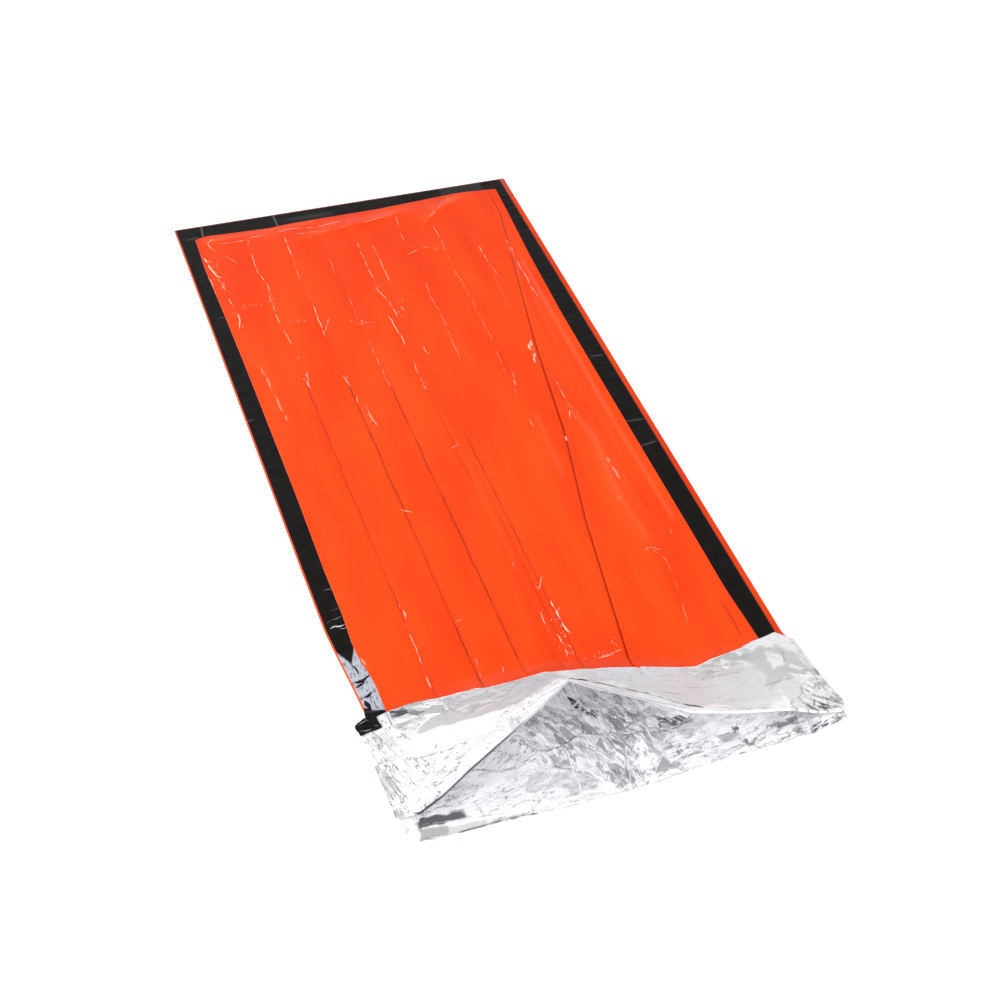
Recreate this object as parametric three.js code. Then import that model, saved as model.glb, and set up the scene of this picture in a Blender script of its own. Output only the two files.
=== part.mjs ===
// An emergency sleeping bag of metallised plastic film, lying flat with its mouth turned back.
// Bottom film, turned over into a hem on three sides; black tape on that hem; top film stuck to
// the tape. At the mouth the top film is turned back over itself as a wide cuff, and the fold
// of the cuff stands up in a low peak, so that the bag gapes.
// Frame: +X across the bag, +Y towards the foot end, +Z up, millimetres, origin on the floor.
import * as THREE from "three";

const { lerp, clamp, smoothstep } = THREE.MathUtils;

// Driving dimensions
const BAG_WIDTH = 914; // across the hemmed edges
const BAG_LENGTH = 2134; // foot edge to the furthest point of the mouth
const FILM = 1.2; // film thickness
const TAPE = 1.0; // tape thickness
const FOLD_GAP = 0.6; // between the two layers of a flat fold
const SEAT_GAP = 0.3; // between pieces that lie on each other
const HEM_WIDTH = 72; // bottom film turned over at the sides and the foot
const HEM_MITRE_GAP = 2; // between the hems where they meet in a corner

// Colours
const ORANGE = 0xff4a1c;
const BLACK = 0x161514;

// Levels of the layers' middle surfaces, from the floor up
const HALF_WIDTH = BAG_WIDTH / 2;
const FOOT_Y = BAG_LENGTH / 2;
const HEM_FOLD_RADIUS = (FILM + FOLD_GAP) / 2;
const BOTTOM_Z = FILM / 2;
const HEM_Z = BOTTOM_Z + 2 * HEM_FOLD_RADIUS;
const TAPE_Z = HEM_Z + FILM / 2 + SEAT_GAP + TAPE / 2;
const TOP_EDGE_Z = TAPE_Z + TAPE / 2 + SEAT_GAP + FILM / 2;

// Bottom film: how far its side edges stand from the centre line
const BOTTOM_SIDES = [
  { y: FOOT_Y, left: -HALF_WIDTH, right: HALF_WIDTH },
  { y: -764, left: -HALF_WIDTH, right: HALF_WIDTH },
  { y: -800, left: -461, right: 474 },
  { y: -950, left: -456, right: 482 },
  { y: -1067, left: -446, right: 486 },
];
// Bottom film: the cut edge at the mouth
const BOTTOM_FRONT = [
  { x: -457, y: -1046 },
  { x: -438, y: -1058 },
  { x: -213, y: -1065 },
  { x: 10, y: -1067 },
  { x: 152, y: -1051 },
  { x: 405, y: -1039 },
  { x: 461, y: -1026 },
  { x: 486, y: -1017 },
];
const FRONT_CURL = { height: 3.5, reach: 28 }; // the cut edge lifts off the floor
const MOUTH_FRONT_Y = -1067; // furthest point of the mouth
const MOUTH_BACK_Y = -920; // behind this the rows of the bottom film run straight across

// Top film: its edges on the tape
const TOP_SIDES = [
  { y: 1020, left: -402, right: 417 },
  { y: 890, left: -395, right: 412 },
  { y: 700, left: -406, right: 403 },
  { y: 440, left: -406, right: 396 },
  { y: -70, left: -406, right: 395 },
  { y: -420, left: -413, right: 395 },
  { y: -530, left: -421, right: 394 },
  { y: -640, left: -411, right: 397 },
  { y: -730, left: -407, right: 401 },
];
const TOP_FOOT = [
  { x: -402, y: 1006 },
  { x: -368, y: 1012 },
  { x: -269, y: 1003 },
  { x: -90, y: 1020 },
  { x: 80, y: 1013 },
  { x: 318, y: 1028 },
  { x: 417, y: 1018 },
];

// Top film: it lies close over the bottom film. Its rise over its own edges, and the creases
// left by its folding into strips for storage
const LOFT = { height: 1.5, rise: 60, crown: 1 };
const CREASES = [
  { x: -289, foot: 1.6, mouth: -2.6 },
  { x: -192, foot: 2.0, mouth: -3.0 },
  { x: -97, foot: -1.2, mouth: -2.6 },
  { x: -17, foot: 2.2, mouth: -2.0 },
  { x: 20, foot: 1.4, mouth: -2.4 },
];
const STRIP_BULGE = 2.4; // height of the soft arch between two creases

// Top film: the long slanting pleat, and the soft folds between it and the right edge
const PLEAT = [
  { y: 1030, x: 394, depth: 0 },
  { y: 900, x: 391, depth: 0.35 },
  { y: 312, x: 288, depth: 1 },
  { y: -16, x: 243, depth: 1 },
  { y: -314, x: 184, depth: 1 },
  { y: -780, x: 114, depth: 1 },
];
const PLEAT_SHAPE = { reach: 9, drop: -3.5, step: 3.2 };
const SIDE_FOLDS = [
  { share: 0.0, height: 3.2 },
  { share: 0.3, height: -0.8 },
  { share: 0.55, height: 4.6 },
  { share: 0.78, height: -1.2 },
  { share: 1.0, height: 0.0 },
];

// Top film: low ripples across the foot end, each along a line from one point to another
const FOOT_RIPPLES = [
  { x1: -395, y1: 985, x2: -100, y2: 1000, height: 3.2, width: 18 },
  { x1: -150, y1: 925, x2: 120, y2: 975, height: 2.8, width: 20 },
  { x1: 190, y1: 925, x2: 300, y2: 1005, height: 3.4, width: 22 },
  { x1: 90, y1: 815, x2: 190, y2: 785, height: 2.4, width: 20 },
];

// Mouth: the fold of the cuff, from the left end to the right end
const LIP = [
  { x: -455, y: -1003, z: 6.5 },
  { x: -410, y: -1006, z: 22 },
  { x: -305, y: -996, z: 84 },
  { x: -176, y: -962, z: 153 },
  { x: -86, y: -928, z: 194 },
  { x: -50, y: -945, z: 178 },
  { x: 28, y: -974, z: 156 },
  { x: 138, y: -1015, z: 121 },
  { x: 222, y: -1034, z: 113 },
  { x: 339, y: -1036, z: 86 },
  { x: 410, y: -1032, z: 50 },
  { x: 484, y: -1008, z: 7 },
];
// Mouth: the cut edge of the cuff, lying back on the top film
const CUFF_EDGE = [
  { x: -464, y: -752 },
  { x: -410, y: -743 },
  { x: -350, y: -736 },
  { x: -28, y: -750 },
  { x: 53, y: -765 },
  { x: 231, y: -813 },
  { x: 374, y: -790 },
  { x: 480, y: -790 },
];
const CUFF_ENDS = { left: -462, right: 468 };
const RAMP_RUN = 42; // the film starts to rise this far behind the cuff's cut edge
const RAMP_POWER = 1.35; // above 1 the rise is hollow, steepest at the lip
const FLARE_START = 0.18; // share of the rise after which the film widens towards the lip
const LIP_GAP = 5; // between the two layers at the lip
const CUFF_GAP = 0.9; // between the cuff and the film at the cuff's cut edge
const STEEPEST_LIFT = 1.7; // the most that a slope adds to the gap, as a factor

// Tape: strips on the hem, partly under the top film
const LEFT_TAPE = { inset: 3.5, width: 60 };
const RIGHT_TAPE = { inset: 14, width: 58 };
const FOOT_TAPE = { inset: 4, width: 64 };
const SIDE_TAPE_END_Y = -900; // the side tapes run on under the cuff
// A short tab of tape holds the back left corner of the cuff down on the left tape
const TAB = { startY: -712, climbY: -722, topY: -737, endY: -782, outerX: -459, innerX: -413 };
const TAB_CLEARANCE = { edge: 2, end: 0.7 }; // over the cuff's cut edge, and at the tab's end

// The value of a table's column at a given place, on straight lines between its rows
function lookUp(table, key, place, column) {
  const rows = [...table].sort((a, b) => a[key] - b[key]);
  const next = rows.findIndex((row) => row[key] >= place);
  if (next === 0) return rows[0][column];
  if (next < 0) return rows[rows.length - 1][column];
  const low = rows[next - 1];
  const high = rows[next];
  return lerp(low[column], high[column], (place - low[key]) / (high[key] - low[key]));
}

// Even steps from one value to another, both ends included
function steps(from, to, count) {
  return Array.from({ length: count + 1 }, (_, i) => lerp(from, to, i / count));
}

// How far a point lies from a straight line between two points, seen from above
function distanceToLine(x, y, line) {
  const dx = line.x2 - line.x1;
  const dy = line.y2 - line.y1;
  const share = ((x - line.x1) * dx + (y - line.y1) * dy) / (dx * dx + dy * dy);
  const t = clamp(share, 0, 1);
  return Math.hypot(x - line.x1 - t * dx, y - line.y1 - t * dy);
}

// A closed sheet of even thickness about a grid of points on its middle surface.
// A cell that the test refuses is left out, and its edges are closed as rims.
function thickSheet(grid, thickness, hasCell = () => true) {
  const columns = grid[0].length;
  const middle = grid.flat();
  const index = (row, column) => row * columns + column;
  const faces = [];
  for (let r = 0; r + 1 < grid.length; r++) {
    for (let c = 0; c + 1 < columns; c++) {
      if (!hasCell(r, c)) continue;
      const corners = [index(r, c), index(r, c + 1), index(r + 1, c + 1), index(r + 1, c)];
      faces.push([corners[0], corners[1], corners[2]]);
      faces.push([corners[0], corners[2], corners[3]]);
    }
  }
  const normals = middle.map(() => new THREE.Vector3());
  for (const [a, b, c] of faces) {
    const edge1 = middle[b].clone().sub(middle[a]);
    const edge2 = middle[c].clone().sub(middle[a]);
    const normal = edge1.cross(edge2);
    for (const corner of [a, b, c]) normals[corner].add(normal);
  }
  const upper = middle.map((p, i) => p.clone().addScaledVector(normals[i].normalize(), thickness / 2));
  const lower = middle.map((p, i) => p.clone().addScaledVector(normals[i], -thickness / 2));
  const below = middle.length;
  const edges = new Set(faces.flatMap(([a, b, c]) => [`${a},${b}`, `${b},${c}`, `${c},${a}`]));
  const triangles = [];
  for (const [a, b, c] of faces) {
    triangles.push(a, b, c, c + below, b + below, a + below);
    for (const [from, to] of [[a, b], [b, c], [c, a]]) {
      if (edges.has(`${to},${from}`)) continue;
      triangles.push(to, from, from + below, to, from + below, to + below);
    }
  }
  const geometry = new THREE.BufferGeometry().setFromPoints([...upper, ...lower]);
  geometry.setIndex(triangles);
  geometry.computeVertexNormals();
  return geometry;
}

// Bottom film

// One side of the section across the bottom film, from the hem's free edge to the flat:
// how far in from the outer edge each point lies, and its height
function hemSection() {
  const points = [];
  for (const inset of [HEM_WIDTH, HEM_WIDTH / 2]) points.push({ inset, z: HEM_Z });
  for (const angle of steps(Math.PI / 2, -Math.PI / 2, 4)) {
    const inset = HEM_FOLD_RADIUS * (1 - Math.cos(angle));
    points.push({ inset, z: BOTTOM_Z + HEM_FOLD_RADIUS * (1 + Math.sin(angle)) });
  }
  return points;
}

function makeBottomFilm() {
  const hem = hemSection();
  const flatInset = hem[hem.length - 1].inset;
  const flatShares = steps(0, 1, 14).slice(1, -1);
  const columns = [
    ...hem.map((p) => ({ side: "left", ...p })),
    ...flatShares.map((share) => ({ side: "flat", share, z: BOTTOM_Z })),
    ...[...hem].reverse().map((p) => ({ side: "right", ...p })),
  ];
  const lastFlatY = FOOT_Y - flatInset;
  const mouthRows = [0, 0.12, 0.3, 0.62].map((share) => ({ part: "mouth", share }));
  const flatRows = steps(MOUTH_BACK_Y, lastFlatY, 10).map((y) => ({ part: "flat", y, z: BOTTOM_Z }));
  const footRows = [...hem].reverse().slice(1).map((p) => ({ part: "foot", ...p }));
  const rows = [...mouthRows, ...flatRows, ...footRows];
  const foldColumns = hem.length - 1;
  const firstFootRow = mouthRows.length + flatRows.length - 1;
  const firstHemRow = mouthRows.length - 1; // the side hems end under the cuff

  const grid = rows.map((row) =>
    columns.map((column) => {
      const mouthY = lerp(MOUTH_FRONT_Y, MOUTH_BACK_Y, row.share ?? 0);
      const nominalY = row.part === "mouth" ? mouthY : (row.y ?? FOOT_Y);
      const left = lookUp(BOTTOM_SIDES, "y", nominalY, "left");
      const right = lookUp(BOTTOM_SIDES, "y", nominalY, "right");
      const mitred = row.part === "foot" ? row.inset + HEM_MITRE_GAP / 2 : 0;
      const flatStart = Math.max(flatInset, mitred);
      let x = lerp(left + flatStart, right - flatStart, column.share ?? 0);
      if (column.side === "left") x = left + Math.max(column.inset, mitred);
      if (column.side === "right") x = right - Math.max(column.inset, mitred);
      let y = row.part === "foot" ? FOOT_Y - row.inset : nominalY;
      let z = row.part === "foot" ? row.z : column.z;
      if (row.part === "mouth") {
        const front = lookUp(BOTTOM_FRONT, "x", x, "y");
        y = lerp(front, MOUTH_BACK_Y, row.share);
        z += FRONT_CURL.height * Math.exp(-(((y - front) / FRONT_CURL.reach) ** 2));
      }
      if (column.side !== "flat" && row.part === "flat") {
        y = Math.min(y, FOOT_Y - Math.max(flatInset, column.inset + HEM_MITRE_GAP / 2));
      }
      return new THREE.Vector3(x, y, z);
    }),
  );
  const hasCell = (r, c) => {
    const isHem = c < foldColumns || c >= columns.length - 1 - foldColumns;
    return !isHem || (r >= firstHemRow && r < firstFootRow);
  };
  return thickSheet(grid, FILM, hasCell);
}

// Top film

// The height of the top film's relief over its flat edges: strips, creases, pleat and folds
function relief(x, y) {
  const towardsMouth = smoothstep(-y, -650, 350);
  const left = lookUp(TOP_SIDES, "y", y, "left");
  const right = lookUp(TOP_SIDES, "y", y, "right");
  const pleat = lookUp(PLEAT, "y", y, "x");
  const depth = lookUp(PLEAT, "y", y, "depth");
  let height = 0;
  for (const ripple of FOOT_RIPPLES) {
    const distance = distanceToLine(x, y, ripple) / ripple.width;
    height += ripple.height * Math.exp(-distance * distance);
  }
  const lines = [
    { x: left, z: 0 },
    ...CREASES.map((crease) => ({ x: crease.x, z: lerp(crease.foot, crease.mouth, towardsMouth) })),
    { x: pleat - PLEAT_SHAPE.reach, z: 0 },
    { x: pleat, z: PLEAT_SHAPE.drop * depth },
  ];
  if (x > pleat) {
    const share = clamp((x - pleat) / (right - pleat), 0, 1);
    const step = smoothstep(x - pleat, 0, PLEAT_SHAPE.reach);
    const fold = lookUp(SIDE_FOLDS, "share", share, "height");
    const beyond = PLEAT_SHAPE.step * depth + fold - SIDE_FOLDS[0].height;
    return height + lerp(PLEAT_SHAPE.drop * depth, beyond, step);
  }
  const next = Math.max(1, lines.findIndex((line) => line.x >= x));
  const share = clamp((x - lines[next - 1].x) / (lines[next].x - lines[next - 1].x), 0, 1);
  const bulge = next < lines.length - 1 ? STRIP_BULGE * Math.sin(Math.PI * share) : 0;
  return height + lerp(lines[next - 1].z, lines[next].z, share) + bulge;
}

// The top film's height over the floor, flat on the tape at its edges
function topHeight(x, y) {
  const fromSides = Math.min(
    x - lookUp(TOP_SIDES, "y", y, "left"),
    lookUp(TOP_SIDES, "y", y, "right") - x,
  );
  const fromFoot = lookUp(TOP_FOOT, "x", x, "y") - y;
  const share = smoothstep(Math.min(fromSides, fromFoot), 0, LOFT.rise);
  const crown = LOFT.crown * Math.cos((Math.PI / 2) * clamp(x / HALF_WIDTH, -1, 1));
  return TOP_EDGE_Z + share * (LOFT.height + crown + relief(x, y));
}

// The rise to the mouth's lip: how far up it a point lies, from 0 at its base to 1 at the lip
function rampBase(x) {
  return lookUp(CUFF_EDGE, "x", x, "y") + RAMP_RUN;
}

function rampShare(x, y) {
  const base = rampBase(x);
  return clamp((base - y) / (base - lookUp(LIP, "x", x, "y")), 0, 1);
}

function rampHeight(x, y) {
  const low = topHeight(x, rampBase(x));
  const high = Math.max(low, lookUp(LIP, "x", x, "z"));
  return lerp(low, high, rampShare(x, y) ** RAMP_POWER);
}

// The cuff lies over the rise, further from it at the lip than at its cut edge.
// The gap is measured square to the slope, so it is divided by the slope's cosine.
function cuffLift(x, y) {
  const reach = 4;
  const slopeX = (rampHeight(x + reach, y) - rampHeight(x - reach, y)) / (2 * reach);
  const slopeY = (rampHeight(x, y + reach) - rampHeight(x, y - reach)) / (2 * reach);
  const gap = lerp(CUFF_GAP, LIP_GAP, rampShare(x, y) ** 2);
  return (FILM + gap) * Math.min(STEEPEST_LIFT, Math.hypot(1, slopeX, slopeY));
}

// Where the grid's columns stand on the flat part of the top film, at one place along it
function topColumns(y) {
  const left = lookUp(TOP_SIDES, "y", y, "left");
  const right = lookUp(TOP_SIDES, "y", y, "right");
  const pleat = lookUp(PLEAT, "y", y, "x");
  const creases = CREASES.map((crease) => crease.x);
  const { reach } = PLEAT_SHAPE;
  const knots = [left, ...creases, pleat - reach, pleat, pleat + reach, right];
  const parts = [3, 3, 3, 3, 2, 6, 1, 1, 6];
  const columns = [left];
  parts.forEach((count, i) => columns.push(...steps(knots[i], knots[i + 1], count).slice(1)));
  return columns;
}

function makeTopFilm() {
  const flatShares = [0, 0.015, 0.034, 0.056, 0.085, 0.12, ...steps(0.165, 1, 16)];
  const footY = 1018;
  const baseY = -705;
  const grid = [];
  for (const share of flatShares) {
    grid.push(
      topColumns(lerp(footY, baseY, share)).map((x) => {
        const y = lerp(lookUp(TOP_FOOT, "x", x, "y"), rampBase(x), share);
        return new THREE.Vector3(x, y, topHeight(x, y));
      }),
    );
  }
  const baseColumns = topColumns(baseY);
  const count = baseColumns.length - 1;
  const lipLeft = LIP[0].x;
  const lipRight = LIP[LIP.length - 1].x;
  const lipColumns = baseColumns.map((x, i) => {
    const even = lerp(lipLeft, lipRight, i / count);
    return i === 0 || i === count ? even : lerp(x, even, 0.75);
  });
  for (const share of steps(0, 1, 7).slice(1)) {
    grid.push(
      lipColumns.map((lipX, i) => {
        const x = lerp(baseColumns[i], lipX, smoothstep(share, FLARE_START, 1));
        const y = lerp(rampBase(x), lookUp(LIP, "x", x, "y"), share);
        return new THREE.Vector3(x, y, rampHeight(x, y));
      }),
    );
  }
  const lip = grid[grid.length - 1];
  for (const angle of steps(-Math.PI / 2, Math.PI / 2, 4).slice(1, -1)) {
    grid.push(
      lip.map((p) => {
        const radius = cuffLift(p.x, p.y) / 2;
        const out = new THREE.Vector3(0, -Math.cos(angle), 1 + Math.sin(angle));
        return p.clone().addScaledVector(out, radius);
      }),
    );
  }
  for (const share of steps(0, 1, 7)) {
    grid.push(
      lipColumns.map((lipX) => {
        const across = (lipX - lipLeft) / (lipRight - lipLeft);
        const x = lerp(lipX, lerp(CUFF_ENDS.left, CUFF_ENDS.right, across), share);
        const y = lerp(lookUp(LIP, "x", x, "y"), lookUp(CUFF_EDGE, "x", x, "y"), share);
        return new THREE.Vector3(x, y, rampHeight(x, y) + cuffLift(x, y));
      }),
    );
  }
  return thickSheet(grid, FILM);
}

// Tape

// A flat strip of tape lying on the hem, with a grid of points at these places
function makeFlatTape(xs, ys) {
  const grid = ys.map((y) => xs.map((x) => new THREE.Vector3(x, y, TAPE_Z)));
  return thickSheet(grid, TAPE);
}

function makeSideTape(outer, inner) {
  const xs = steps(Math.min(outer, inner), Math.max(outer, inner), 2);
  return makeFlatTape(xs, steps(SIDE_TAPE_END_Y, FOOT_Y - FOOT_TAPE.inset, 12));
}

function makeLeftTape() {
  const outer = -HALF_WIDTH + LEFT_TAPE.inset;
  return makeSideTape(outer, outer + LEFT_TAPE.width);
}

function makeRightTape() {
  const outer = HALF_WIDTH - RIGHT_TAPE.inset;
  return makeSideTape(outer, outer - RIGHT_TAPE.width);
}

// The tab lies on the left tape, climbs the cuff's cut edge and lies on the cuff
function makeCornerTab() {
  const onTapeZ = TAPE_Z + TAPE + SEAT_GAP;
  const overCuff = (x, y) => rampHeight(x, y) + cuffLift(x, y) + FILM / 2 + TAPE / 2;
  const cuffRows = steps(TAB.endY, TAB.topY, 3).map((y) =>
    steps(TAB.outerX, TAB.innerX, 4).map((x) => {
      const share = (y - TAB.endY) / (TAB.topY - TAB.endY);
      const clearance = lerp(TAB_CLEARANCE.end, TAB_CLEARANCE.edge, share);
      return new THREE.Vector3(x, y, overCuff(x, y) + clearance);
    }),
  );
  const tapeRows = [TAB.climbY, TAB.startY].map((y) =>
    steps(TAB.outerX, TAB.innerX, 4).map((x) => new THREE.Vector3(x, y, onTapeZ)),
  );
  return thickSheet([...cuffRows, ...tapeRows], TAPE);
}

function makeFootTape() {
  const left = -HALF_WIDTH + LEFT_TAPE.inset + LEFT_TAPE.width + SEAT_GAP;
  const right = HALF_WIDTH - RIGHT_TAPE.inset - RIGHT_TAPE.width - SEAT_GAP;
  const outer = FOOT_Y - FOOT_TAPE.inset;
  return makeFlatTape(steps(left, right, 8), steps(outer - FOOT_TAPE.width, outer, 2));
}

// The bag

function piece(name, geometry, colour, roughness) {
  const material = new THREE.MeshStandardMaterial({ color: colour, roughness, metalness: 0 });
  const mesh = new THREE.Mesh(geometry, material);
  mesh.name = name;
  return mesh;
}

const bag = new THREE.Group();
bag.name = "emergency_sleeping_bag";
bag.add(piece("bottom_film", makeBottomFilm(), ORANGE, 0.35));
bag.add(piece("top_film", makeTopFilm(), ORANGE, 0.35));
bag.add(piece("left_tape", makeLeftTape(), BLACK, 0.3));
bag.add(piece("right_tape", makeRightTape(), BLACK, 0.3));
bag.add(piece("foot_tape", makeFootTape(), BLACK, 0.3));
bag.add(piece("corner_tab", makeCornerTab(), BLACK, 0.3));

// The origin is on the floor, midway across and along the whole bag
const extent = new THREE.Box3().setFromObject(bag);
const middle = extent.getCenter(new THREE.Vector3());
bag.position.set(-middle.x, -middle.y, -extent.min.z);

export default bag;
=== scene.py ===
import math

import bpy
import numpy as np
from mathutils import Matrix, Vector


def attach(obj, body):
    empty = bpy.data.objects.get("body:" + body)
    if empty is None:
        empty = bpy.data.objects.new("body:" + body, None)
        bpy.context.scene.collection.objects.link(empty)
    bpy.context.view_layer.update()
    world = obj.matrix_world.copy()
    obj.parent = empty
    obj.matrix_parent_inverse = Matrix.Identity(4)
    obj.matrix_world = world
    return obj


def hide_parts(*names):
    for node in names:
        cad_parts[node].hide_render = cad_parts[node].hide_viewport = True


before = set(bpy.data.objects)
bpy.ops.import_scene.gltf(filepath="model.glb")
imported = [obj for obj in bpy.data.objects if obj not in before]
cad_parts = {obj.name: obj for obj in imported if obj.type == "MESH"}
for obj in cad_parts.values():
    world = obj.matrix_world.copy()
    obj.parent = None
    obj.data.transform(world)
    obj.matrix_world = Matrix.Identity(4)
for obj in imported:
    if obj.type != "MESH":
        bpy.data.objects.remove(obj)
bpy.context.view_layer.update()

# Sizes in millimetres, in the bag's own frame: x from its centre line, y from its middle
MM = 0.001
BAG_TO_PART = np.array([-11.99, -0.53, 0])  # the part's origin is midway in its whole box
HALF_WIDTH = 457
FOOT_Y = 1067
FILM = TAPE = 0.5  # thickness shown; the solids are thicker than the real film

# Heights of the layers' middle surfaces over the floor
BOTTOM_Z, HEM_Z, TAPE_Z, TOP_EDGE_Z = 0.6, 2.4, 3.7, 5


def table(columns, *rows):
    """Named columns of numbers, sorted by the first."""
    values = np.array(sorted(rows), float)
    return {name: values[:, i] for i, name in enumerate(columns.split())}


def look_up(rows, place, column):
    first = next(iter(rows))
    return np.interp(place, rows[first], rows[column])


def sides_at(rows, y):
    return look_up(rows, y, "left"), look_up(rows, y, "right")


def mix(a, b, share):
    return a + (b - a) * share


def smooth(value, low, high):
    t = np.clip((value - low) / (high - low), 0, 1)
    return t * t * (3 - 2 * t)


def window(value, start, full, fade, end):
    """1 between full and fade, and 0 before start and after end."""
    return smooth(value, start, full) * smooth(-value, -end, -fade)


def turned(x, y, turn):
    c, s = np.cos(turn), np.sin(turn)
    return c * x - s * y, s * x + c * y


def lattice(u, v, seed):
    """Seeded values at the four corners of the cell around each place, and the place in it."""
    values = np.random.default_rng(seed).uniform(-1, 1, (64, 64))
    i, j = np.floor(u).astype(int), np.floor(v).astype(int)
    corners = [values[(i + a) % 64, (j + b) % 64] for a, b in ((0, 0), (1, 0), (0, 1), (1, 1))]
    return corners, u - i, v - j


def lattice_noise(x, y, size, seed, turn=0):
    """Soft noise from -1 to 1, with lumps of about the given size."""
    u, v = turned(x, y, turn)
    corners, u, v = lattice(u / size, v / size, seed)
    u, v = smooth(u, 0, 1), smooth(v, 0, 1)
    return mix(mix(corners[0], corners[1], u), mix(corners[2], corners[3], u), v)


def facets(x, y, size, seed, turn=0, stretch=1):
    """Flat three-sided facets with sharp edges, from -1 to 1, as in crumpled foil."""
    x = x + 0.4 * size * lattice_noise(x, y, size * 1.6, seed + 1)
    y = y + 0.4 * size * lattice_noise(x, y, size * 1.6, seed + 2)
    u, v = turned(x, y, turn)
    corners, u, v = lattice(u / size, v / (size * stretch), seed)
    near = corners[0] + (corners[1] - corners[0]) * u + (corners[2] - corners[0]) * v
    far = corners[3] + (corners[2] - corners[3]) * (1 - u) + (corners[1] - corners[3]) * (1 - v)
    return np.where(u + v <= 1, near, far)


def line_distance(x, y, x1, y1, x2, y2):
    """Distance from a line between two points."""
    dx, dy = x2 - x1, y2 - y1
    t = np.clip(((x - x1) * dx + (y - y1) * dy) / (dx * dx + dy * dy), 0, 1)
    return np.hypot(x - x1 - t * dx, y - y1 - t * dy)


# Outlines of the two films as they lie
BOTTOM_SIDES = table(
    "y left right", (1067, -457, 457), (-300, -457, 457), (-485, -456, 457), (-570, -450, 457),
    (-650, -443, 457), (-740, -437, 457), (-764, -441, 457), (-800, -458, 466), (-950, -456, 482),
    (-1067, -446, 486),
)
BOTTOM_FRONT = table(
    "x y", (-457, -1052), (-436, -1067), (-376, -1070), (-213, -1069), (-98, -1071), (10, -1069),
    (152, -1052), (405, -1039), (461, -1026), (486, -1017),
)
TOP_SIDES = table(
    "y left right", (1020, -414, 417), (886, -418, 412), (700, -414, 403), (440, -411, 396),
    (-70, -409, 395), (-300, -411, 395), (-450, -409, 395), (-540, -412, 394), (-590, -409, 395),
    (-633, -401, 397), (-670, -397, 399), (-730, -397, 401),
)
TOP_FOOT = table(
    "x y", (-414, 1004), (-385, 1013), (-297, 1008), (-218, 1004), (-154, 1010), (80, 1012), (318, 1028),
    (417, 1018),
)
LIP = table(
    "x y z", (-455, -1003, 6.5), (-410, -1016, 17), (-360, -1008, 43), (-305, -996, 83), (-176, -962, 153),
    (-86, -928, 194), (-50, -945, 178), (28, -974, 156), (138, -1015, 121), (222, -1034, 113),
    (339, -1036, 86), (410, -1032, 50), (484, -1008, 7),
)
CUFF_EDGE = table(
    "x y", (-464, -752), (-410, -743), (-350, -736), (-28, -750), (53, -765), (231, -813), (374, -790),
    (480, -790),
)
# How far the cut edge is drawn back in the middle, and reaches on over the tape at the right corner
EDGE_REACH = table(
    "x reach", (-420, 0), (-360, -6), (-220, -10), (-150, -24), (-90, -31), (-50, -26), (30, -19),
    (120, -12), (250, -13), (300, -8), (340, -3), (398, 13), (438, 26), (453, 10), (464, -6),
)
# How much thicker the lip is rolled
LIP_ROLL = table("x height", (-60, 0), (60, 1), (160, 4), (390, 4.5), (450, 1))
# How far the cuff's right edge bulges, from the lip to the cut edge
RIGHT_BULGE = table("share out", (0, 0), (0.1, 8), (0.2, 7), (0.43, -5), (0.6, -3), (1, 0))
BULGE_START = 0.92  # share of the way across the cuff
CUFF_LEFT, CUFF_RIGHT, CUFF_WIDTH = -462, 468, 250
RAMP_RUN, RAMP_POWER, FLARE_START = 42, 1.2, 0.18  # from the panel up to the lip
LIP_GAP, CUFF_GAP = 1.6, 1.6  # between the cuff and the film under it
STEEPEST_LIFT, SLOPE_REACH = 1.7, 4

# Storage creases: place, and height of the fold towards the foot and towards the mouth
CREASES = table(
    "x foot mouth", (-289, 1.6, -2.6), (-192, 2, -3), (-97, -1.2, -2.6), (-17, 2.2, -2), (20, 1.4, -2.4),
)
CREASE_FOOT_Y, CREASE_MOUTH_Y = 650, -350  # where they have those heights
PLEAT = table(
    "y x depth", (1030, 394, 0), (900, 391, 0.35), (312, 288, 1), (-16, 243, 1), (-314, 184, 1),
    (-780, 114, 1),
)
PLEAT_REACH, PLEAT_DROP, PLEAT_STEP = 5, -3, 3.2
SIDE_FOLDS = table("share height", (0, 3.2), (0.3, -0.8), (0.55, 4.6), (0.78, -1.2), (1, 0))
LOFT, LOFT_RISE, CROWN = 1.5, 60, 1
STRIP_BULGE, STRIP_ROUNDNESS = 2.4, 0.8
WAVE_HEIGHT, WAVE_SIZE, WAVE_TURN, WAVE_SEED = 0.7, 70, 0.3, 11

# Low folds in the top film: from a point to a point, height and width
LOW_FOLDS = (
    (375, 690, 371, 300, 3, 14), (371, 300, 367, 30, 3, 13), (367, 30, 372, -370, 2.6, 12),
    (285, 50, 300, -60, 2.4, 16), (300, -60, 282, -270, 2.6, 15), (282, -270, 291, -430, 2.2, 14),
    (340, 560, 325, 60, -1.8, 14), (325, 60, 330, -330, -1.8, 16), (199, 60, 186, -160, 2, 12),
    (285, 810, 277, 490, 2.2, 12), (378, -640, 367, -765, -2, 8), (215, 520, 190, 230, -1.6, 16),
    (316, 580, 284, 380, -1.6, 10), (388, 620, 384, 420, -1.5, 8), (-395, 985, -100, 1000, 3.2, 18),
    (-150, 925, 120, 975, 2.8, 20), (190, 925, 300, 1005, 3.4, 22), (90, 815, 190, 785, 2.4, 20),
)
TALL_FOLD, FOLD_SHADE_WIDTH = 3, 0.5  # the height of a fold that gets its full painted highlight and shade, and how wide they are
FOOT_SHADE = 0.45  # how much painted shade deepens the film's colour towards the foot
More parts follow.
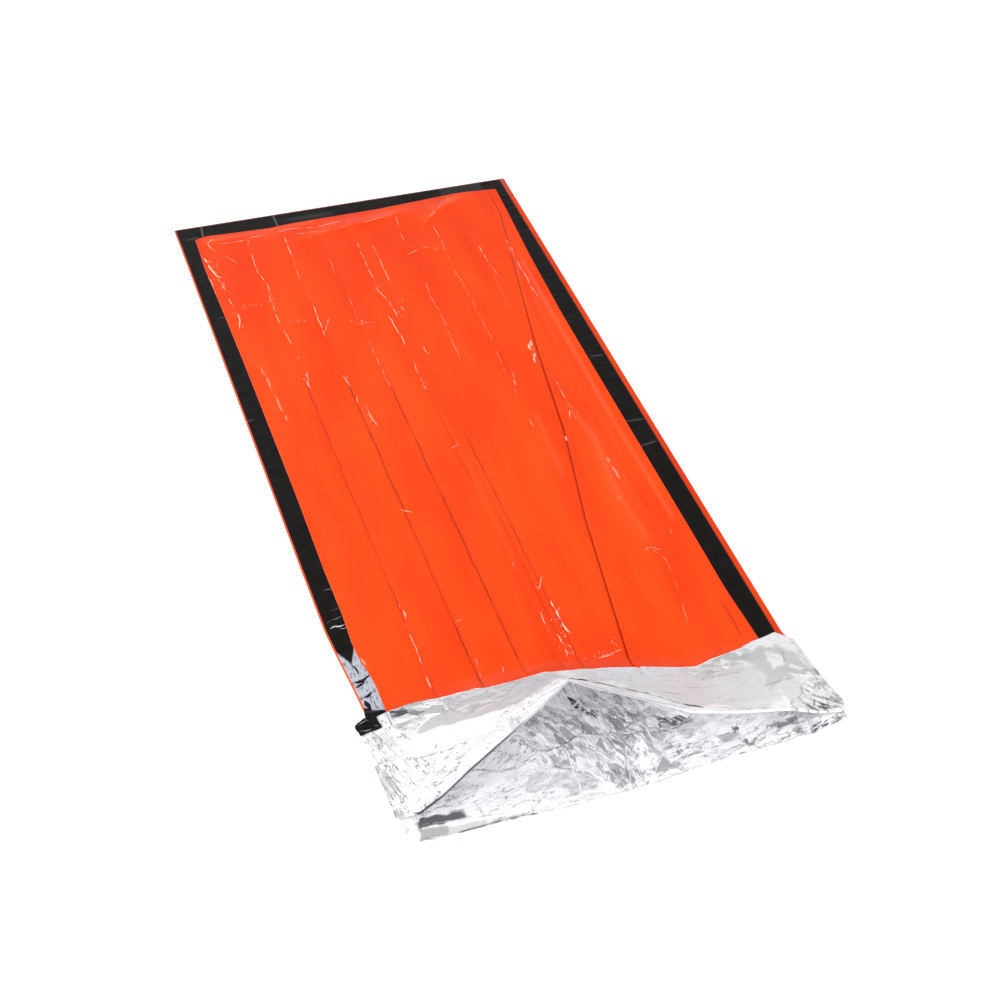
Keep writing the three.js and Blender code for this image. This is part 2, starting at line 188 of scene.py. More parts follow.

# Painted shadow on the top film along its storage creases: place, from, to and strength
PAINTED_CREASE_SHADOWS = (
    (-289, 380, -800, 0.7), (-192, 330, -800, 0.95), (-97, 300, -800, 0.85), (-17, 240, -160, 0.4),
    (3, -60, -640, 0.4), (20, 60, -800, 0.7), (371, -640, -755, 0.6),
)
# Sharp little ridges pinched up in the film, which catch the light and are painted pale, partly stress
# whitening and partly a painted highlight: half width, strength, and the course as x and y in turn
RIDGES = (
    (1, 0.9, -285, 965, -290, 875, -295, 805, -280, 745, -290, 690, -290, 560, -285, 490),
    (1.3, 1, -190, 950, -190, 865, -195, 810), (0.9, 0.7, -195, 810, -200, 700, -190, 660),
    (1.3, 1, -195, 630, -195, 580, -195, 500), (1, 0.9, -170, 565, -195, 515),
    (0.9, 0.6, -100, 830, -105, 745), (1, 0.8, -100, 665, -100, 545), (1, 0.6, -110, 525, -65, 520),
    (1.1, 0.9, -15, 865, -20, 735, -20, 645, -5, 585, -5, 520),
    (1.3, 1, -25, 540, -20, 425, -20, 340, -20, 225), (1.2, 0.9, 20, 845, 20, 750, 20, 675),
    (1, 0.8, 20, 430, 25, 355), (0.9, 0.7, 115, 965, 105, 830), (1, 0.8, 105, 640, 95, 575, 105, 520),
    (0.9, 0.7, 195, 890, 200, 820, 195, 740), (0.9, 0.7, -100, 450, -100, 365, -100, 250),
    (2.5, 0.3, 95, 775, 140, 800, 180, 775), (2.2, 1, 285, 760, 285, 700), (1.4, 0.9, 285, 700, 295, 590),
    (1.2, 0.8, -364, 964, -327, 957, -282, 966, -226, 972, -162, 979, -96, 971, -24, 981),
    (1.6, 0.9, -390, 974, -371, 993), (1.4, 0.8, -371, 993, -364, 972), (1.7, 0.9, -388, 976, -381, 949),
    (0.9, 0.6, -381, 949, -360, 905, -333, 864), (1.8, 0.9, -416, 884, -415, 815, -413, 752),
    (1.8, 0.4, -160, 950, -55, 940, 110, 965), (3, 0.3, 180, 905, 225, 950, 280, 1010),
    (2.6, 1, -411, 931, -403, 874, -396, 824), (1.8, 0.9, -396, 824, -388, 754),
    (2.2, 0.8, -388, 728, -385, 676, -382, 635, -392, 593), (3.5, 0.3, -375, 430, -366, 200),
    (1.4, 0.8, -290, 355, -280, 310), (1.4, 0.9, -195, 335, -190, 285), (1.2, 0.9, -185, 250, -190, 220),
    (1.4, 0.8, -175, 205, -170, 115), (1.3, 0.8, -185, -40, -170, -15), (1.3, 0.8, -200, -165, -175, -185),
    (1.2, 0.7, -30, 0, -5, 10), (1.3, 0.8, -283, -438, -287, -462),
    (2.4, 0.8, -283, -468, -282, -486, -286, -500), (1.1, 0.9, -286, -500, -290, -560, -292, -650),
    (2.2, 0.7, -291, -655, -291, -700, -291, -738), (3.2, 0.5, -404, -578, -399, -600, -396, -628),
    (1.2, 0.8, 5, -480, 10, -495, 30, -460), (2.4, 1, 25, -535, 25, -610, 30, -650),
    (1.3, 0.7, -10, -560, -10, -625), (2.4, 0.9, 0, -635, 5, -690, 0, -730),
    (2.2, 0.6, -180, -650, -190, -725), (2.6, 0.5, -135, -680, -140, -710),
    (2, 0.7, 40, -730, 80, -725, 115, -715), (1.2, 0.7, -350, -185, -330, -170),
    (1.4, 0.9, 265, -455, 285, -445, 305, -460), (2.8, 1, 280, 335, 265, 250),
    (1.5, 0.9, 285, 205, 290, 80, 270, 20), (0.8, 0.5, 280, -445, 305, -490, 290, -605, 275, -690),
    (1, 0.6, 190, 200, 180, 150), (4, 0.3, 300, -115, 305, -215), (3.5, 0.3, 365, 785, 360, 495),
    (1.1, 0.35, 198, 760, 190, 690, 193, 610, 196, 520, 191, 390, 182, 232),
    (1.1, 0.4, 107, 641, 97, 578, 103, 522, 99, 435, 92, 314), (1.2, 0.35, 362, 776, 355, 682, 348, 611),
    (1.3, 0.9, -283, 426, -277, 438), (1.2, 0.8, -277, 374, -281, 343, -283, 317),
    (1.2, 0.7, -182, 198, -169, 203), (1.2, 0.7, -287, 696, -283, 665), (3, 1, 283, 345, 279, 318),
    (3.4, 1, 275, 330, 269, 300), (3.4, 1, 279, 305, 270, 272), (2.4, 1, -409, 902, -397, 890),
    (2.4, 1, -405, 878, -393, 866), (2.2, 1, -401, 853, -389, 841), (2, 0.9, -398, 828, -387, 816),
    (2, 0.9, -394, 800, -384, 790), (1.3, 0.6, 198, 233, 185, 163), (1.3, 0.7, 179, 47, 180, 18),
    (1.3, 0.6, 269, -279, 287, -279), (1.2, 0.7, 353, -394, 350, -418), (1.2, 0.6, -13, -388, -19, -426),
    (1.2, 0.7, -189, -536, -173, -536),
)
# Patches of small pinched specks, painted pale as glints: middle, reach and count
SPECKS = (
    (-285, 715, 9, 35, 12), (-192, 310, 8, 26, 9), (-180, 160, 10, 45, 14), (-95, 535, 28, 14, 12),
    (-280, 335, 8, 32, 9), (-20, 255, 8, 28, 8), (278, 300, 12, 45, 12), (287, 110, 9, 90, 14),
    (20, -590, 14, 70, 26), (8, -690, 16, 42, 24), (70, -720, 50, 12, 26), (105, -690, 14, 16, 6),
    (-395, 830, 10, 80, 20), (-385, 640, 8, 65, 16), (-330, 675, 50, 10, 14), (-252, 575, 40, 5, 8),
    (12, 560, 26, 50, 16), (-15, 640, 16, 40, 8), (280, -450, 18, 10, 6),
)
SPECK_SEED = 81

# Crumples of the cuff: middle, reach, size of the facets, turn, stretch and height.
# The first place is across the bag, the second from 0 at the cut edge to 1 at the lip.
CUFF_CRUMPLES = (
    (0, 0.5, 2000, 5, 85, 0.3, 1.3, 1.3), (0, 0.5, 2000, 5, 30, 1, 1.5, 0.35),
    (450, 0.75, 60, 0.45, 34, 0.2, 1.6, 5), (450, 0.7, 60, 0.5, 14, 0.9, 1.4, 1.6),
    (-440, 0.5, 34, 0.6, 20, 1.2, 2.2, 2), (-440, 0.5, 40, 0.6, 9, 0.4, 1.8, 0.6),
    (-335, 0.82, 80, 0.22, 15, 0.35, 3, 0.9), (-320, 0.05, 60, 0.09, 12, 0.2, 1.4, 1.3),
    (300, 0.1, 55, 0.16, 36, 0.8, 1.2, 2.6), (415, 0.22, 45, 0.22, 48, 0.1, 1.1, 3),
    (-60, 0.6, 70, 0.6, 22, 0.6, 2, 1.6), (200, 0.35, 90, 0.3, 40, 1.4, 3, 0.9),
)
CUFF_SEED = 100
# Stretches of foil with wrinkles of their own: middle, turn in degrees, fine lines of painted shade and
# facets.
# On the cuff the second place is in millimetres from the cut edge, with the lip at 250.
CUFF_GRAIN = (
    (-440, 60, 80, 1, 0.7), (-430, 180, 75, 1, 0.7), (-340, 40, 15, 0.9, 0.5), (-200, 40, 12, 0.7, 0.3),
    (-290, 120, 10, 0.15, 0.1), (-350, 215, 12, 1, 0.35), (-270, 225, 15, 0.7, 0.3),
    (-130, 80, 20, 0.7, 0.2), (-100, 200, 35, 0.8, 0.2), (0, 60, 5, 0.6, 0.2), (60, 180, 10, 0.5, 0.15),
    (150, 60, 3, 0.5, 0.15), (180, 160, 8, 0.35, 0.1), (280, 40, 20, 0.7, 0.3), (330, 130, 5, 0.25, 0.1),
    (300, 220, 3, 0.3, 0.1), (410, 60, 15, 0.4, 0.1), (400, 165, 5, 0.3, 0.1), (458, 185, 60, 1, 0.9),
    (425, 235, 40, 1, 0.9),
)
MOUTH_GRAIN = (
    (-450, -1005, 70, 1, 0.5), (-330, -980, 18, 1, 0.35), (-250, -1030, 12, 0.8, 0.3),
    (-200, -900, 30, 0.9, 0.3), (-150, -1000, 15, 0.6, 0.35), (-80, -870, -60, 0.6, 0.8),
    (-90, -970, -80, 0.8, 0.8), (-20, -960, -65, 0.9, 0.9), (30, -880, -70, 0.8, 0.8),
    (60, -980, -75, 0.8, 0.8), (110, -920, -50, 0.7, 0.6), (130, -1010, 8, 1, 0.4),
    (200, -960, 5, 0.5, 0.3), (230, -1030, 10, 1, 0.4), (330, -1010, 14, 0.9, 0.5),
    (420, -1020, 20, 0.9, 0.7), (-385, -1050, 4, 0.2, 0.1),
)
# The band of painted dark reflection along the left of the cuff's cut edge: its width
CUFF_BAND = table("x width", (-400, 72), (-346, 90), (-278, 104), (-227, 128), (-180, 155), (-100, 150))
BAND_SHADE = 0.41
# Patches of painted shade and dark reflection on the foil: middle, reach, turn and strength; those below
# nought take the painted shade away, for bright glints
CUFF_PATCHES = (
    (-200, 232, 12, 26, 0.2, 0.3), (-374, 18, 18, 12, 0, 0.75), (-345, 34, 16, 7, 0.1, 0.6),
    (-120, 150, 60, 22, 0.3, 0.3), (40, 60, 70, 60, 0, 0.2), (130, 90, 110, 95, 0, 0.2),
    (230, 110, 110, 110, 0, 0.22), (330, 140, 90, 100, 0, 0.2), (300, 30, 60, 28, 0, 0.38),
    (400, 75, 62, 66, 0, 0.34), (448, 224, 30, 26, 0.2, 0.8), (408, 240, 34, 12, 0.1, 0.7),
    (448, 162, 9, 10, 0.3, 0.6), (-440, 120, 22, 110, 0.1, 0.35), (400, 64, 19, 30, 0.15, -1),
    (427, 97, 15, 6, 0.75, -1), (289, 45, 8, 18, 0.3, -1), (328, 59, 6, 13, -0.2, -1),
    (334, 19, 6, 8, 0, -1),
)
MOUTH_PATCHES = (
    (-378, -1030, 47, 12, -0.07, 0.9), (-340, -1028, 15, 10, 0, 0.55), (-398, -1055, 31, 12, -0.05, 0.55),
    (-340, -1060, 42, 8, 0, 0.3), (-270, -1064, 55, 5, 0, 0.2), (-113, -955, 14, 24, 0.2, 0.4),
    (-148, -1002, 42, 19, -0.2, 0.25), (-95, -850, 50, 28, 0, 0.46), (-10, -853, 28, 14, -0.98, 0.82),
    (-28, -800, 10, 26, 0, 0.8), (0, -940, 125, 95, 0, 0.42), (-70, -915, 34, 60, -0.15, 0.5),
    (-20, -940, 30, 80, -0.3, 0.48), (30, -960, 30, 75, -0.2, 0.46), (52, -893, 36, 18, 0.2, 0.58),
    (78, -918, 36, 36, -0.2, 0.5), (150, -933, 40, 15, 0, 0.7), (172, -950, 34, 22, 0.3, 0.28),
    (40, -1030, 90, 22, 0.05, 0.5), (242, -999, 30, 9, 0.1, 0.42), (256, -985, 9, 8, 0, 0.85),
    (268, -1022, 18, 12, 0.5, 0.6), (365, -1030, 18, 17, 0.6, 0.6), (370, -998, 55, 8, 0.2, 0.6),
    (430, -1026, 40, 10, 0.3, 0.7), (200, -1035, 120, 8, 0.1, 0.16), (55, -842, 80, 20, -0.71, -0.9),
    (-150, -920, 45, 30, 0, -0.8), (137, -1004, 46, 13, 0.35, -0.9), (54, -1016, 24, 19, 0, -0.8),
)
# Sharp creases in the foil: half width, strength of their painted shadow and course; those of strength
# nought have none and are bright
CUFF_CREASES = (
    (1.5, 0, -400, 4, -360, 8, -220, 13, -150, 32, -90, 45, -50, 36, 30, 25, 120, 16),
    (1.5, 0, 120, 16, 231, 17, 250, 17, 300, 11, 340, 6, 370, 2, 462, 2),
    (3, 1, -62, 112, -30, 145, 10, 165, 45, 180, 62, 185),
    (2.6, 0.8, -50, 128, -10, 156, 30, 175, 75, 192, 110, 210), (2.2, 0.7, 62, 185, 100, 205, 130, 220),
    (3.2, 1, 112, 215, 145, 225, 165, 232), (1.8, 0.5, 165, 232, 240, 246, 330, 245),
    (1, 0.5, -20, 120, 40, 128, 110, 150, 170, 160), (0.9, 0.4, 60, 100, 130, 118, 210, 125),
    (1.3, 0.6, 318, 156, 345, 149, 378, 137, 405, 132), (1, 0.5, 372, 168, 399, 168, 424, 168),
    (1.2, 0.5, 213, 88, 243, 80, 280, 78), (1.1, 0.4, 197, 133, 219, 120, 242, 114),
    (1.1, 0.6, 222, 191, 244, 196), (1.1, 0.5, 200, 176, 218, 182), (3, 0, 402, 113, 433, 126, 460, 143),
    (1.3, 0.6, 424, 42, 418, 70, 413, 100), (0.9, 0.7, 110, 30, 118, 70),
    (1.2, 0.9, 447, 158, 441, 205, 452, 238), (1, 0.8, 457, 155, 466, 200, 476, 245),
    (1.4, 0.9, 395, 242, 420, 205, 432, 230), (1.2, 0.8, 440, 225, 470, 212), (1.6, 0, -289, 20, -283, 62),
    (1.4, 0, -180, 45, -172, 75), (1.3, 0, -262, 30, -225, 22), (1, 0.6, -345, 150, -335, 135, -318, 132),
    (0.9, 0.5, -372, 212, -330, 190, -285, 182), (0.9, 0.5, -360, 226, -310, 205, -262, 200),
    (0.9, 0.4, -225, 150, -205, 190), (1.1, 0.6, -447, 120, -440, 150, -452, 190),
)
MOUTH_CREASES = (
    (2.4, 0.8, -425, -1065, -376, -1067, -319, -1066, -260, -1066, -190, -1067),
    (1, 0.4, -190, -1067, -100, -1069, 10, -1067, 90, -1057, 152, -1050),
    (1, 0.4, 152, -1049, 300, -1042, 405, -1037, 470, -1021),
    (1, 0.5, -410, -1035, -330, -1040, -240, -1052), (1, 0.5, -238, -950, -222, -955, -212, -970),
    (1.2, 0.7, 100, -1026, 150, -1022, 210, -1013), (1.3, 0.8, 296, -1010, 318, -1003, 335, -998),
    (1, 0.6, 256, -985, 268, -965), (1, 0.6, 180, -955, 190, -975),
    (2.4, 0, -86, -925, -92, -987, -98, -1060), (2.4, 0, -40, -920, -37, -941, -23, -1013),
    (1.5, 0, -60, -930, -50, -985, -38, -1030), (2, 0, 80, -920, 83, -950, 89, -1003),
    (1.4, 0, 70, -905, 72, -960), (1.8, 0, 24, -960, 21, -981, 6, -1050), (1.5, 0, 108, -930, 118, -975),
)
EDGE_CURL, EDGE_CURL_REACH = 4, 0.27  # the cuff's cut edge stands up a little from the panel
PILLOW, CUFF_LOOSENESS = 2.5, 0.8  # how far the cuff stands off the ramp

# Crumples of the bottom film in the mouth: middle, reach, size, turn, stretch and height
MOUTH_CRUMPLES = (
    (0, -930, 170, 120, 46, 0.25, 2, 5), (0, -930, 190, 120, 21, 0.35, 2.2, 2.4),
    (0, -930, 200, 120, 9, 0.1, 1.8, 0.8), (-290, -980, 150, 120, 75, 1.1, 1.4, 3),
    (-290, -980, 150, 120, 24, 0.9, 1.8, 0.8), (300, -990, 150, 90, 52, 1.35, 1.9, 4.5),
    (300, -990, 150, 90, 20, 1.2, 1.8, 1.2), (-400, -1030, 60, 40, 26, 0.2, 1.3, 2),
)
MOUTH_LOOSENESS, MOUTH_SEED = 4.5, 300


def low_folds(x, y, width_share=1):
    height = np.zeros_like(x)
    for x1, y1, x2, y2, ridge, width in LOW_FOLDS:
        distance = line_distance(x, y, x1, y1, x2, y2)
        height = height + ridge * np.exp(-((distance / (width_share * width)) ** 2))
    return height


def relief(x, y):
    """Height of the top film's strips, creases, pleat and folds over its flat edges."""
    towards_mouth = smooth(-y, -CREASE_FOOT_Y, -CREASE_MOUTH_Y)
    left, right = sides_at(TOP_SIDES, y)
    pleat, depth = look_up(PLEAT, y, "x"), look_up(PLEAT, y, "depth")
    line_x = [left] + [np.full_like(x, v) for v in CREASES["x"]] + [pleat - PLEAT_REACH, pleat]
    line_z = [np.zeros_like(x)]
    line_z += [mix(a, b, towards_mouth) for a, b in zip(CREASES["foot"], CREASES["mouth"])]
    line_z += [np.zeros_like(x), PLEAT_DROP * depth]
    height = np.zeros_like(x)
    for i in range(len(line_x) - 1):
        x1, x2, z1, z2 = line_x[i], line_x[i + 1], line_z[i], line_z[i + 1]
        share = np.clip((x - x1) / (x2 - x1), 0, 1)
        bulge = 0 if i == len(line_x) - 2 else STRIP_BULGE * np.sin(np.pi * share) ** STRIP_ROUNDNESS
        inside = (x >= x1) & (x <= x2)
        height = np.where(inside, mix(z1, z2, share) + bulge, height)
    share = np.clip((x - pleat) / (right - pleat), 0, 1)
    step = smooth(x - pleat, 0, PLEAT_REACH)
    fold = look_up(SIDE_FOLDS, share, "height") - SIDE_FOLDS["height"][0]
    beyond = mix(PLEAT_DROP * depth, PLEAT_STEP * depth + fold, step)
    height = np.where(x > pleat, beyond, height) + low_folds(x, y)
    return height + WAVE_HEIGHT * lattice_noise(x, y * 0.5, WAVE_SIZE, WAVE_SEED, WAVE_TURN)


def painted_fold_shade(x, y):
    """From 1 on the crests of the low folds, where a pale highlight is painted, to -1 in their troughs,
    where deep shade is painted. Painted shade also makes the film a little deeper towards the foot."""
    tone = low_folds(x, y, FOLD_SHADE_WIDTH) / TALL_FOLD
    return np.clip(tone - FOOT_SHADE * smooth(y, 450, 850), -1, 1)


def top_height(x, y):
    left, right = sides_at(TOP_SIDES, y)
    inner = np.minimum(np.minimum(x - left, right - x), look_up(TOP_FOOT, x, "y") - y)
    share = smooth(inner, 0, LOFT_RISE)
    crown = CROWN * np.cos(np.pi / 2 * np.clip(x / HALF_WIDTH, -1, 1))
    return TOP_EDGE_Z + share * (LOFT + crown + relief(x, y))


def ramp_base(x):
    return look_up(CUFF_EDGE, x, "y") + RAMP_RUN


def ramp_share(x, y):
    base = ramp_base(x)
    return np.clip((base - y) / (base - look_up(LIP, x, "y")), 0, 1)


def ramp_height(x, y):
    low = top_height(x, ramp_base(x))
    high = np.maximum(low, look_up(LIP, x, "z"))
    return mix(low, high, ramp_share(x, y) ** RAMP_POWER)


def cuff_lift(x, y):
    """How far the cuff lies over the ramp, measured straight up."""
    reach = SLOPE_REACH
    slope_x = (ramp_height(x + reach, y) - ramp_height(x - reach, y)) / (2 * reach)
    slope_y = (ramp_height(x, y + reach) - ramp_height(x, y - reach)) / (2 * reach)
    gap = mix(CUFF_GAP, LIP_GAP, ramp_share(x, y) ** 2)
    return (FILM + gap) * np.minimum(STEEPEST_LIFT, np.sqrt(1 + slope_x**2 + slope_y**2))


def crumpled(rows, x, y, across, along, seed):
    """Height of the crumples in a table, each strongest at its own middle."""
    height = np.zeros_like(x)
    for k, (mid_x, mid_y, reach_x, reach_y, size, turn, stretch, amount) in enumerate(rows):
        near = np.exp(-(((across - mid_x) / reach_x) ** 2) - ((along - mid_y) / reach_y) ** 2)
        height = height + amount * near * facets(x, y, size, seed + 5 * k, turn, stretch)
    return height


# Meshes


def stacked(x, y, z):
    return np.stack([x, y, z], axis=-1)


def added(name, data):
    """A new object in the scene."""
    thing = bpy.data.objects.new(name, data)
    bpy.context.scene.collection.objects.link(thing)
    return thing


def closed_sheet(name, grid, thickness, materials, values, ridges=(), cells=None):
    """A thin closed sheet about a grid of points in millimetres.
    materials: for the side that the grid's normals face, and for the other side.
    values: point values that the materials read, by name, one for each grid point.
    ridges: points, faces, strengths and material of each set of small ridges on it.
    cells: which of the grid's cells are kept, or all of them."""
    rows, columns = grid.shape[:2]
    normals = np.cross(np.gradient(grid, axis=1), np.gradient(grid, axis=0))
    normals /= np.linalg.norm(normals, axis=2, keepdims=True) + 1e-12
    upper = (grid + normals * thickness / 2).reshape(-1, 3)
    lower = (grid - normals * thickness / 2).reshape(-1, 3)
    keep = np.ones((rows - 1, columns - 1), bool) if cells is None else cells
    index = np.arange(rows * columns).reshape(rows, columns)
    a, b = index[:-1, :-1][keep], index[:-1, 1:][keep]
    c, d = index[1:, 1:][keep], index[1:, :-1][keep]
    top = np.stack([a, b, c, d], axis=1)
    below = rows * columns
    starts, ends = np.concatenate([a, b, c, d]), np.concatenate([b, c, d, a])
    pairs = set(zip(starts.tolist(), ends.tolist()))
    rim = sorted((e, s, s + below, e + below) for s, e in pairs if (e, s) not in pairs)
    faces = np.concatenate([top, top[:, ::-1] + below, rim])
    used, faces = np.unique(faces, return_inverse=True)
    faces = faces.reshape(-1, 4).tolist()
    points = ((np.concatenate([upper, lower]) + BAG_TO_PART) * MM)[used].tolist()
    slots = np.zeros(len(faces), np.int32)
    slots[len(top) : 2 * len(top)] = len(materials) - 1
    strengths = np.zeros(len(points))
    for ridge_points, ridge_faces, ridge_strengths, slot in ridges:
        shift = len(points)
        points += ((ridge_points + BAG_TO_PART) * MM).tolist()
        faces += [[shift + i for i in face] for face in ridge_faces]
        slots = np.concatenate([slots, np.full(len(ridge_faces), slot)])
        strengths = np.concatenate([strengths, ridge_strengths])
    mesh = bpy.data.meshes.new(name)
    mesh.from_pydata(points, [], faces)
    for material in materials:
        mesh.materials.append(material)
    mesh.polygons.foreach_set("material_index", slots.astype(np.int32))
    mesh.polygons.foreach_set("use_smooth", np.ones(len(faces), bool))
    mesh.attributes.new("ridge", "FLOAT", "POINT").data.foreach_set("value", strengths.astype(np.float32))
    for key, field in values.items():
        flat = field.reshape(rows * columns, -1)
        full = np.zeros((len(points), flat.shape[1]), np.float32)
        full[: len(used)] = np.concatenate([flat, flat])[used]
        kind, part = ("FLOAT_VECTOR", "vector") if field.ndim == 3 else ("FLOAT", "value")
        mesh.attributes.new(key, kind, "POINT").data.foreach_set(part, full.reshape(-1))
    mesh.validate()
    mesh.update()
    return added(name, mesh)


# How the small ridges are drawn: step, taper at the ends, and what sets their patterns apart
RIDGE_STEP, RIDGE_TAPER, RIDGE_APART = 5, 15, 300
# How they sway to the sides and swell: reach, length and seed
SWAYS = ((2.2, 26, 501), (0.8, 9, 502))
SWELL, USUAL_SWELL, THINNEST = (1.1, 17, 503), 0.55, 0.12
RIDGE_ROOT, RIDGE_RISE, RIDGE_STEEPNESS = -0.1, 0.15, 0.3


def wander(along, reach, length, seed):
    return reach * lattice_noise(along, along * 0, length, seed)


def ridge_meshes(rows, height_at, slot):
    """Closed slivers along the courses in a table, lying on a surface."""
    points, faces, strengths = [], [], []
    for k, (half_width, strength, *course) in enumerate(rows):
        course = np.array(course, float).reshape(-1, 2)
        lengths = np.concatenate([[0], np.cumsum(np.hypot(*np.diff(course, axis=0).T))])
        count = max(4, int(lengths[-1] / RIDGE_STEP))
        place = np.linspace(0, lengths[-1], count + 1)
        x, y = np.interp(place, lengths, course[:, 0]), np.interp(place, lengths, course[:, 1])
        way = np.gradient(np.stack([x, y], axis=1), axis=0)
        way /= np.linalg.norm(way, axis=1, keepdims=True)
        side = np.stack([-way[:, 1], way[:, 0]], axis=1)
        along = place + RIDGE_APART * k
        sway = sum(wander(along, *row) for row in SWAYS)
        x, y = x + side[:, 0] * sway, y + side[:, 1] * sway
        taper = np.sqrt(np.clip(np.minimum(place, lengths[-1] - place) / RIDGE_TAPER, 0.05, 1))
        thick = np.clip(USUAL_SWELL + wander(along, *SWELL), THINNEST, 1)
        half = half_width * taper * thick
        base = height_at(x, y)
        first = len(points)
        for i in range(count + 1):
            edge = side[i] * half[i]
            points.append((x[i] - edge[0], y[i] - edge[1], base[i] + RIDGE_ROOT))
            points.append((x[i], y[i], base[i] + RIDGE_RISE + RIDGE_STEEPNESS * half[i]))
            points.append((x[i] + edge[0], y[i] + edge[1], base[i] + RIDGE_ROOT))
            strengths += [strength * (0.35 + 0.65 * thick[i])] * 3
        for i in range(count):
            a, b = first + 3 * i, first + 3 * i + 3
            faces += [(a, a + 1, b + 1, b), (a + 1, a + 2, b + 2, b + 1), (a + 2, a, b, b + 2)]
        last = first + 3 * count
        faces += [(first, first + 2, first + 1), (last, last + 1, last + 2)]
    return np.array(points), faces, np.array(strengths), slot


def spread(low, high, count):
    """Places from low to high, closer together at the ends."""
    t = np.linspace(0, 1, count + 1)
    return low + (high - low) * mix(t, 0.5 - 0.5 * np.cos(np.pi * t), 0.5)


# Materials


class Nodes:
    """A node tree, with short calls for the nodes used here."""

    def __init__(self, tree):
        self.tree = tree

    def fill(self, sockets, values):
        for key, value in values.items():
            if isinstance(value, bpy.types.NodeSocket):
                self.tree.links.new(value, sockets[key])
            else:
                sockets[key].default_value = value

    def add(self, kind, inputs=None, **settings):
        node = self.tree.nodes.new("ShaderNode" + kind)
        for key, value in settings.items():
            setattr(node, key, value)
        self.fill(node.inputs, inputs or {})
        return node

    def math(self, operation, a, b=0):
        return self.add("Math", {0: a, 1: b}, operation=operation).outputs[0]

    def plus(self, a, b):
        return self.math("ADD", a, b)

    def minus(self, a, b):
        return self.math("SUBTRACT", a, b)

    def times(self, a, b):
        return self.math("MULTIPLY", a, b)

    def larger(self, a, b):
        return self.math("MAXIMUM", a, b)

    def apart(self, a, b):
        return self.math("ABSOLUTE", self.minus(a, b))

    def fade(self, value, low, high, start=0, end=1):
        limits = {"From Min": low, "From Max": high, "To Min": start, "To Max": end}
        node = self.add("MapRange", {"Value": value, **limits}, interpolation_type="SMOOTHSTEP")
        return node.outputs["Result"]

    def blend(self, share, a, b):
        return self.add("Mix", {0: share, 6: a, 7: b}, data_type="RGBA").outputs[2]

    def between(self, share, a, b):
        return self.add("Mix", {0: share, 2: a, 3: b}, data_type="FLOAT").outputs[0]

    def noise(self, place, scale, detail=3, output="Fac"):
        return self.add("TexNoise", {"Vector": place, "Scale": scale, "Detail": detail}).outputs[output]

    def vector(self, operation, a, b, output="Vector"):
        return self.add("VectorMath", {0: a, 1: b}, operation=operation).outputs[output]

    def stretched(self, place, x, y, z):
        return self.vector("MULTIPLY", place, (x, y, z))

    def either_way(self, colour, amount):
        """A colour's first two parts, from 0 to 1, as a shift across and along."""
        return self.stretched(self.vector("SUBTRACT", colour, (0.5, 0.5, 0.5)), amount, amount, 0)

    def shaken(self, place, scale, amount):
        """Places moved about by noise, so that straight lines turn out uneven."""
        noise = self.noise(place, scale, output="Color")
        return self.vector("ADD", place, self.either_way(noise, amount))

    def cells(self, place, scale):
        return self.add("TexVoronoi", {"Vector": place, "Scale": scale}).outputs

    def facets(self, place, scale, slope):
        """Height of flat cells, each tilted its own way."""
        cells = self.cells(place, scale)
        local = self.vector("SUBTRACT", place, cells["Position"])
        return self.vector("DOT_PRODUCT", self.either_way(cells["Color"], slope), local, "Value")

    def parts(self, vector):
        return self.add("SeparateXYZ", {0: vector}).outputs

    def cell_value(self, place, scale):
        """A value for each flat cell, from 0 to 1."""
        return self.parts(self.cells(place, scale)["Color"])["X"]

    def point_value(self, name, output="Fac"):
        return self.add("Attribute", attribute_name=name).outputs[output]

    def place(self):
        return self.add("TexCoord").outputs["Object"]

    def bump(self, height, strength=1):
        inputs = {"Height": height, "Strength": strength, "Distance": 1}
        return self.add("Bump", inputs).outputs["Normal"]


def new_material(name):
    material = bpy.data.materials.new(name)
    material.use_nodes = True
    return material, Nodes(material.node_tree), material.node_tree.nodes["Principled BSDF"].inputs


# Colours of the orange film and of the folds, creases and ridges in it
ORANGE, PALE_ORANGE = (0.85, 0.048, 0.002, 1), (0.98, 0.072, 0.004, 1)
# The low folds' pale crests and deep troughs are painted highlight and painted shade
CREST_HIGHLIGHT, TROUGH_SHADE = (1, 0.13, 0.045, 1), (0.76, 0.030, 0.002, 1)
# Painted shade beside the storage creases, painted shadow in them and along the pleat, and the pale of the
# ridges, partly stress whitening and partly painted highlight
BESIDE_CREASE_SHADE, CREASE_SHADOW, RIDGE_WHITENING_AND_HIGHLIGHT = (0.70, 0.030, 0.002, 1), (0.13, 0.007, 0.002, 1), (1, 0.64, 0.47, 1)
# Colours of the foil, with its painted shade and dark reflection, and of the tape, with its marks, painted
# highlights and painted glare
FOIL, MATT_FOIL, SHADED_FOIL = (0.95, 0.95, 0.97, 1), (0.85, 0.90, 0.94, 1), (0.045, 0.045, 0.055, 1)
BLACK, PALE_BLACK = (0.0015, 0.0012, 0.0011, 1), (0.0075, 0.0047, 0.0044, 1)
TAPE_MARK_AND_HIGHLIGHT, TAPE_GLARE = (0.6, 0.6, 0.6, 1), (0.47, 0.49, 0.56, 1)
WHITE = (1, 1, 1, 1)


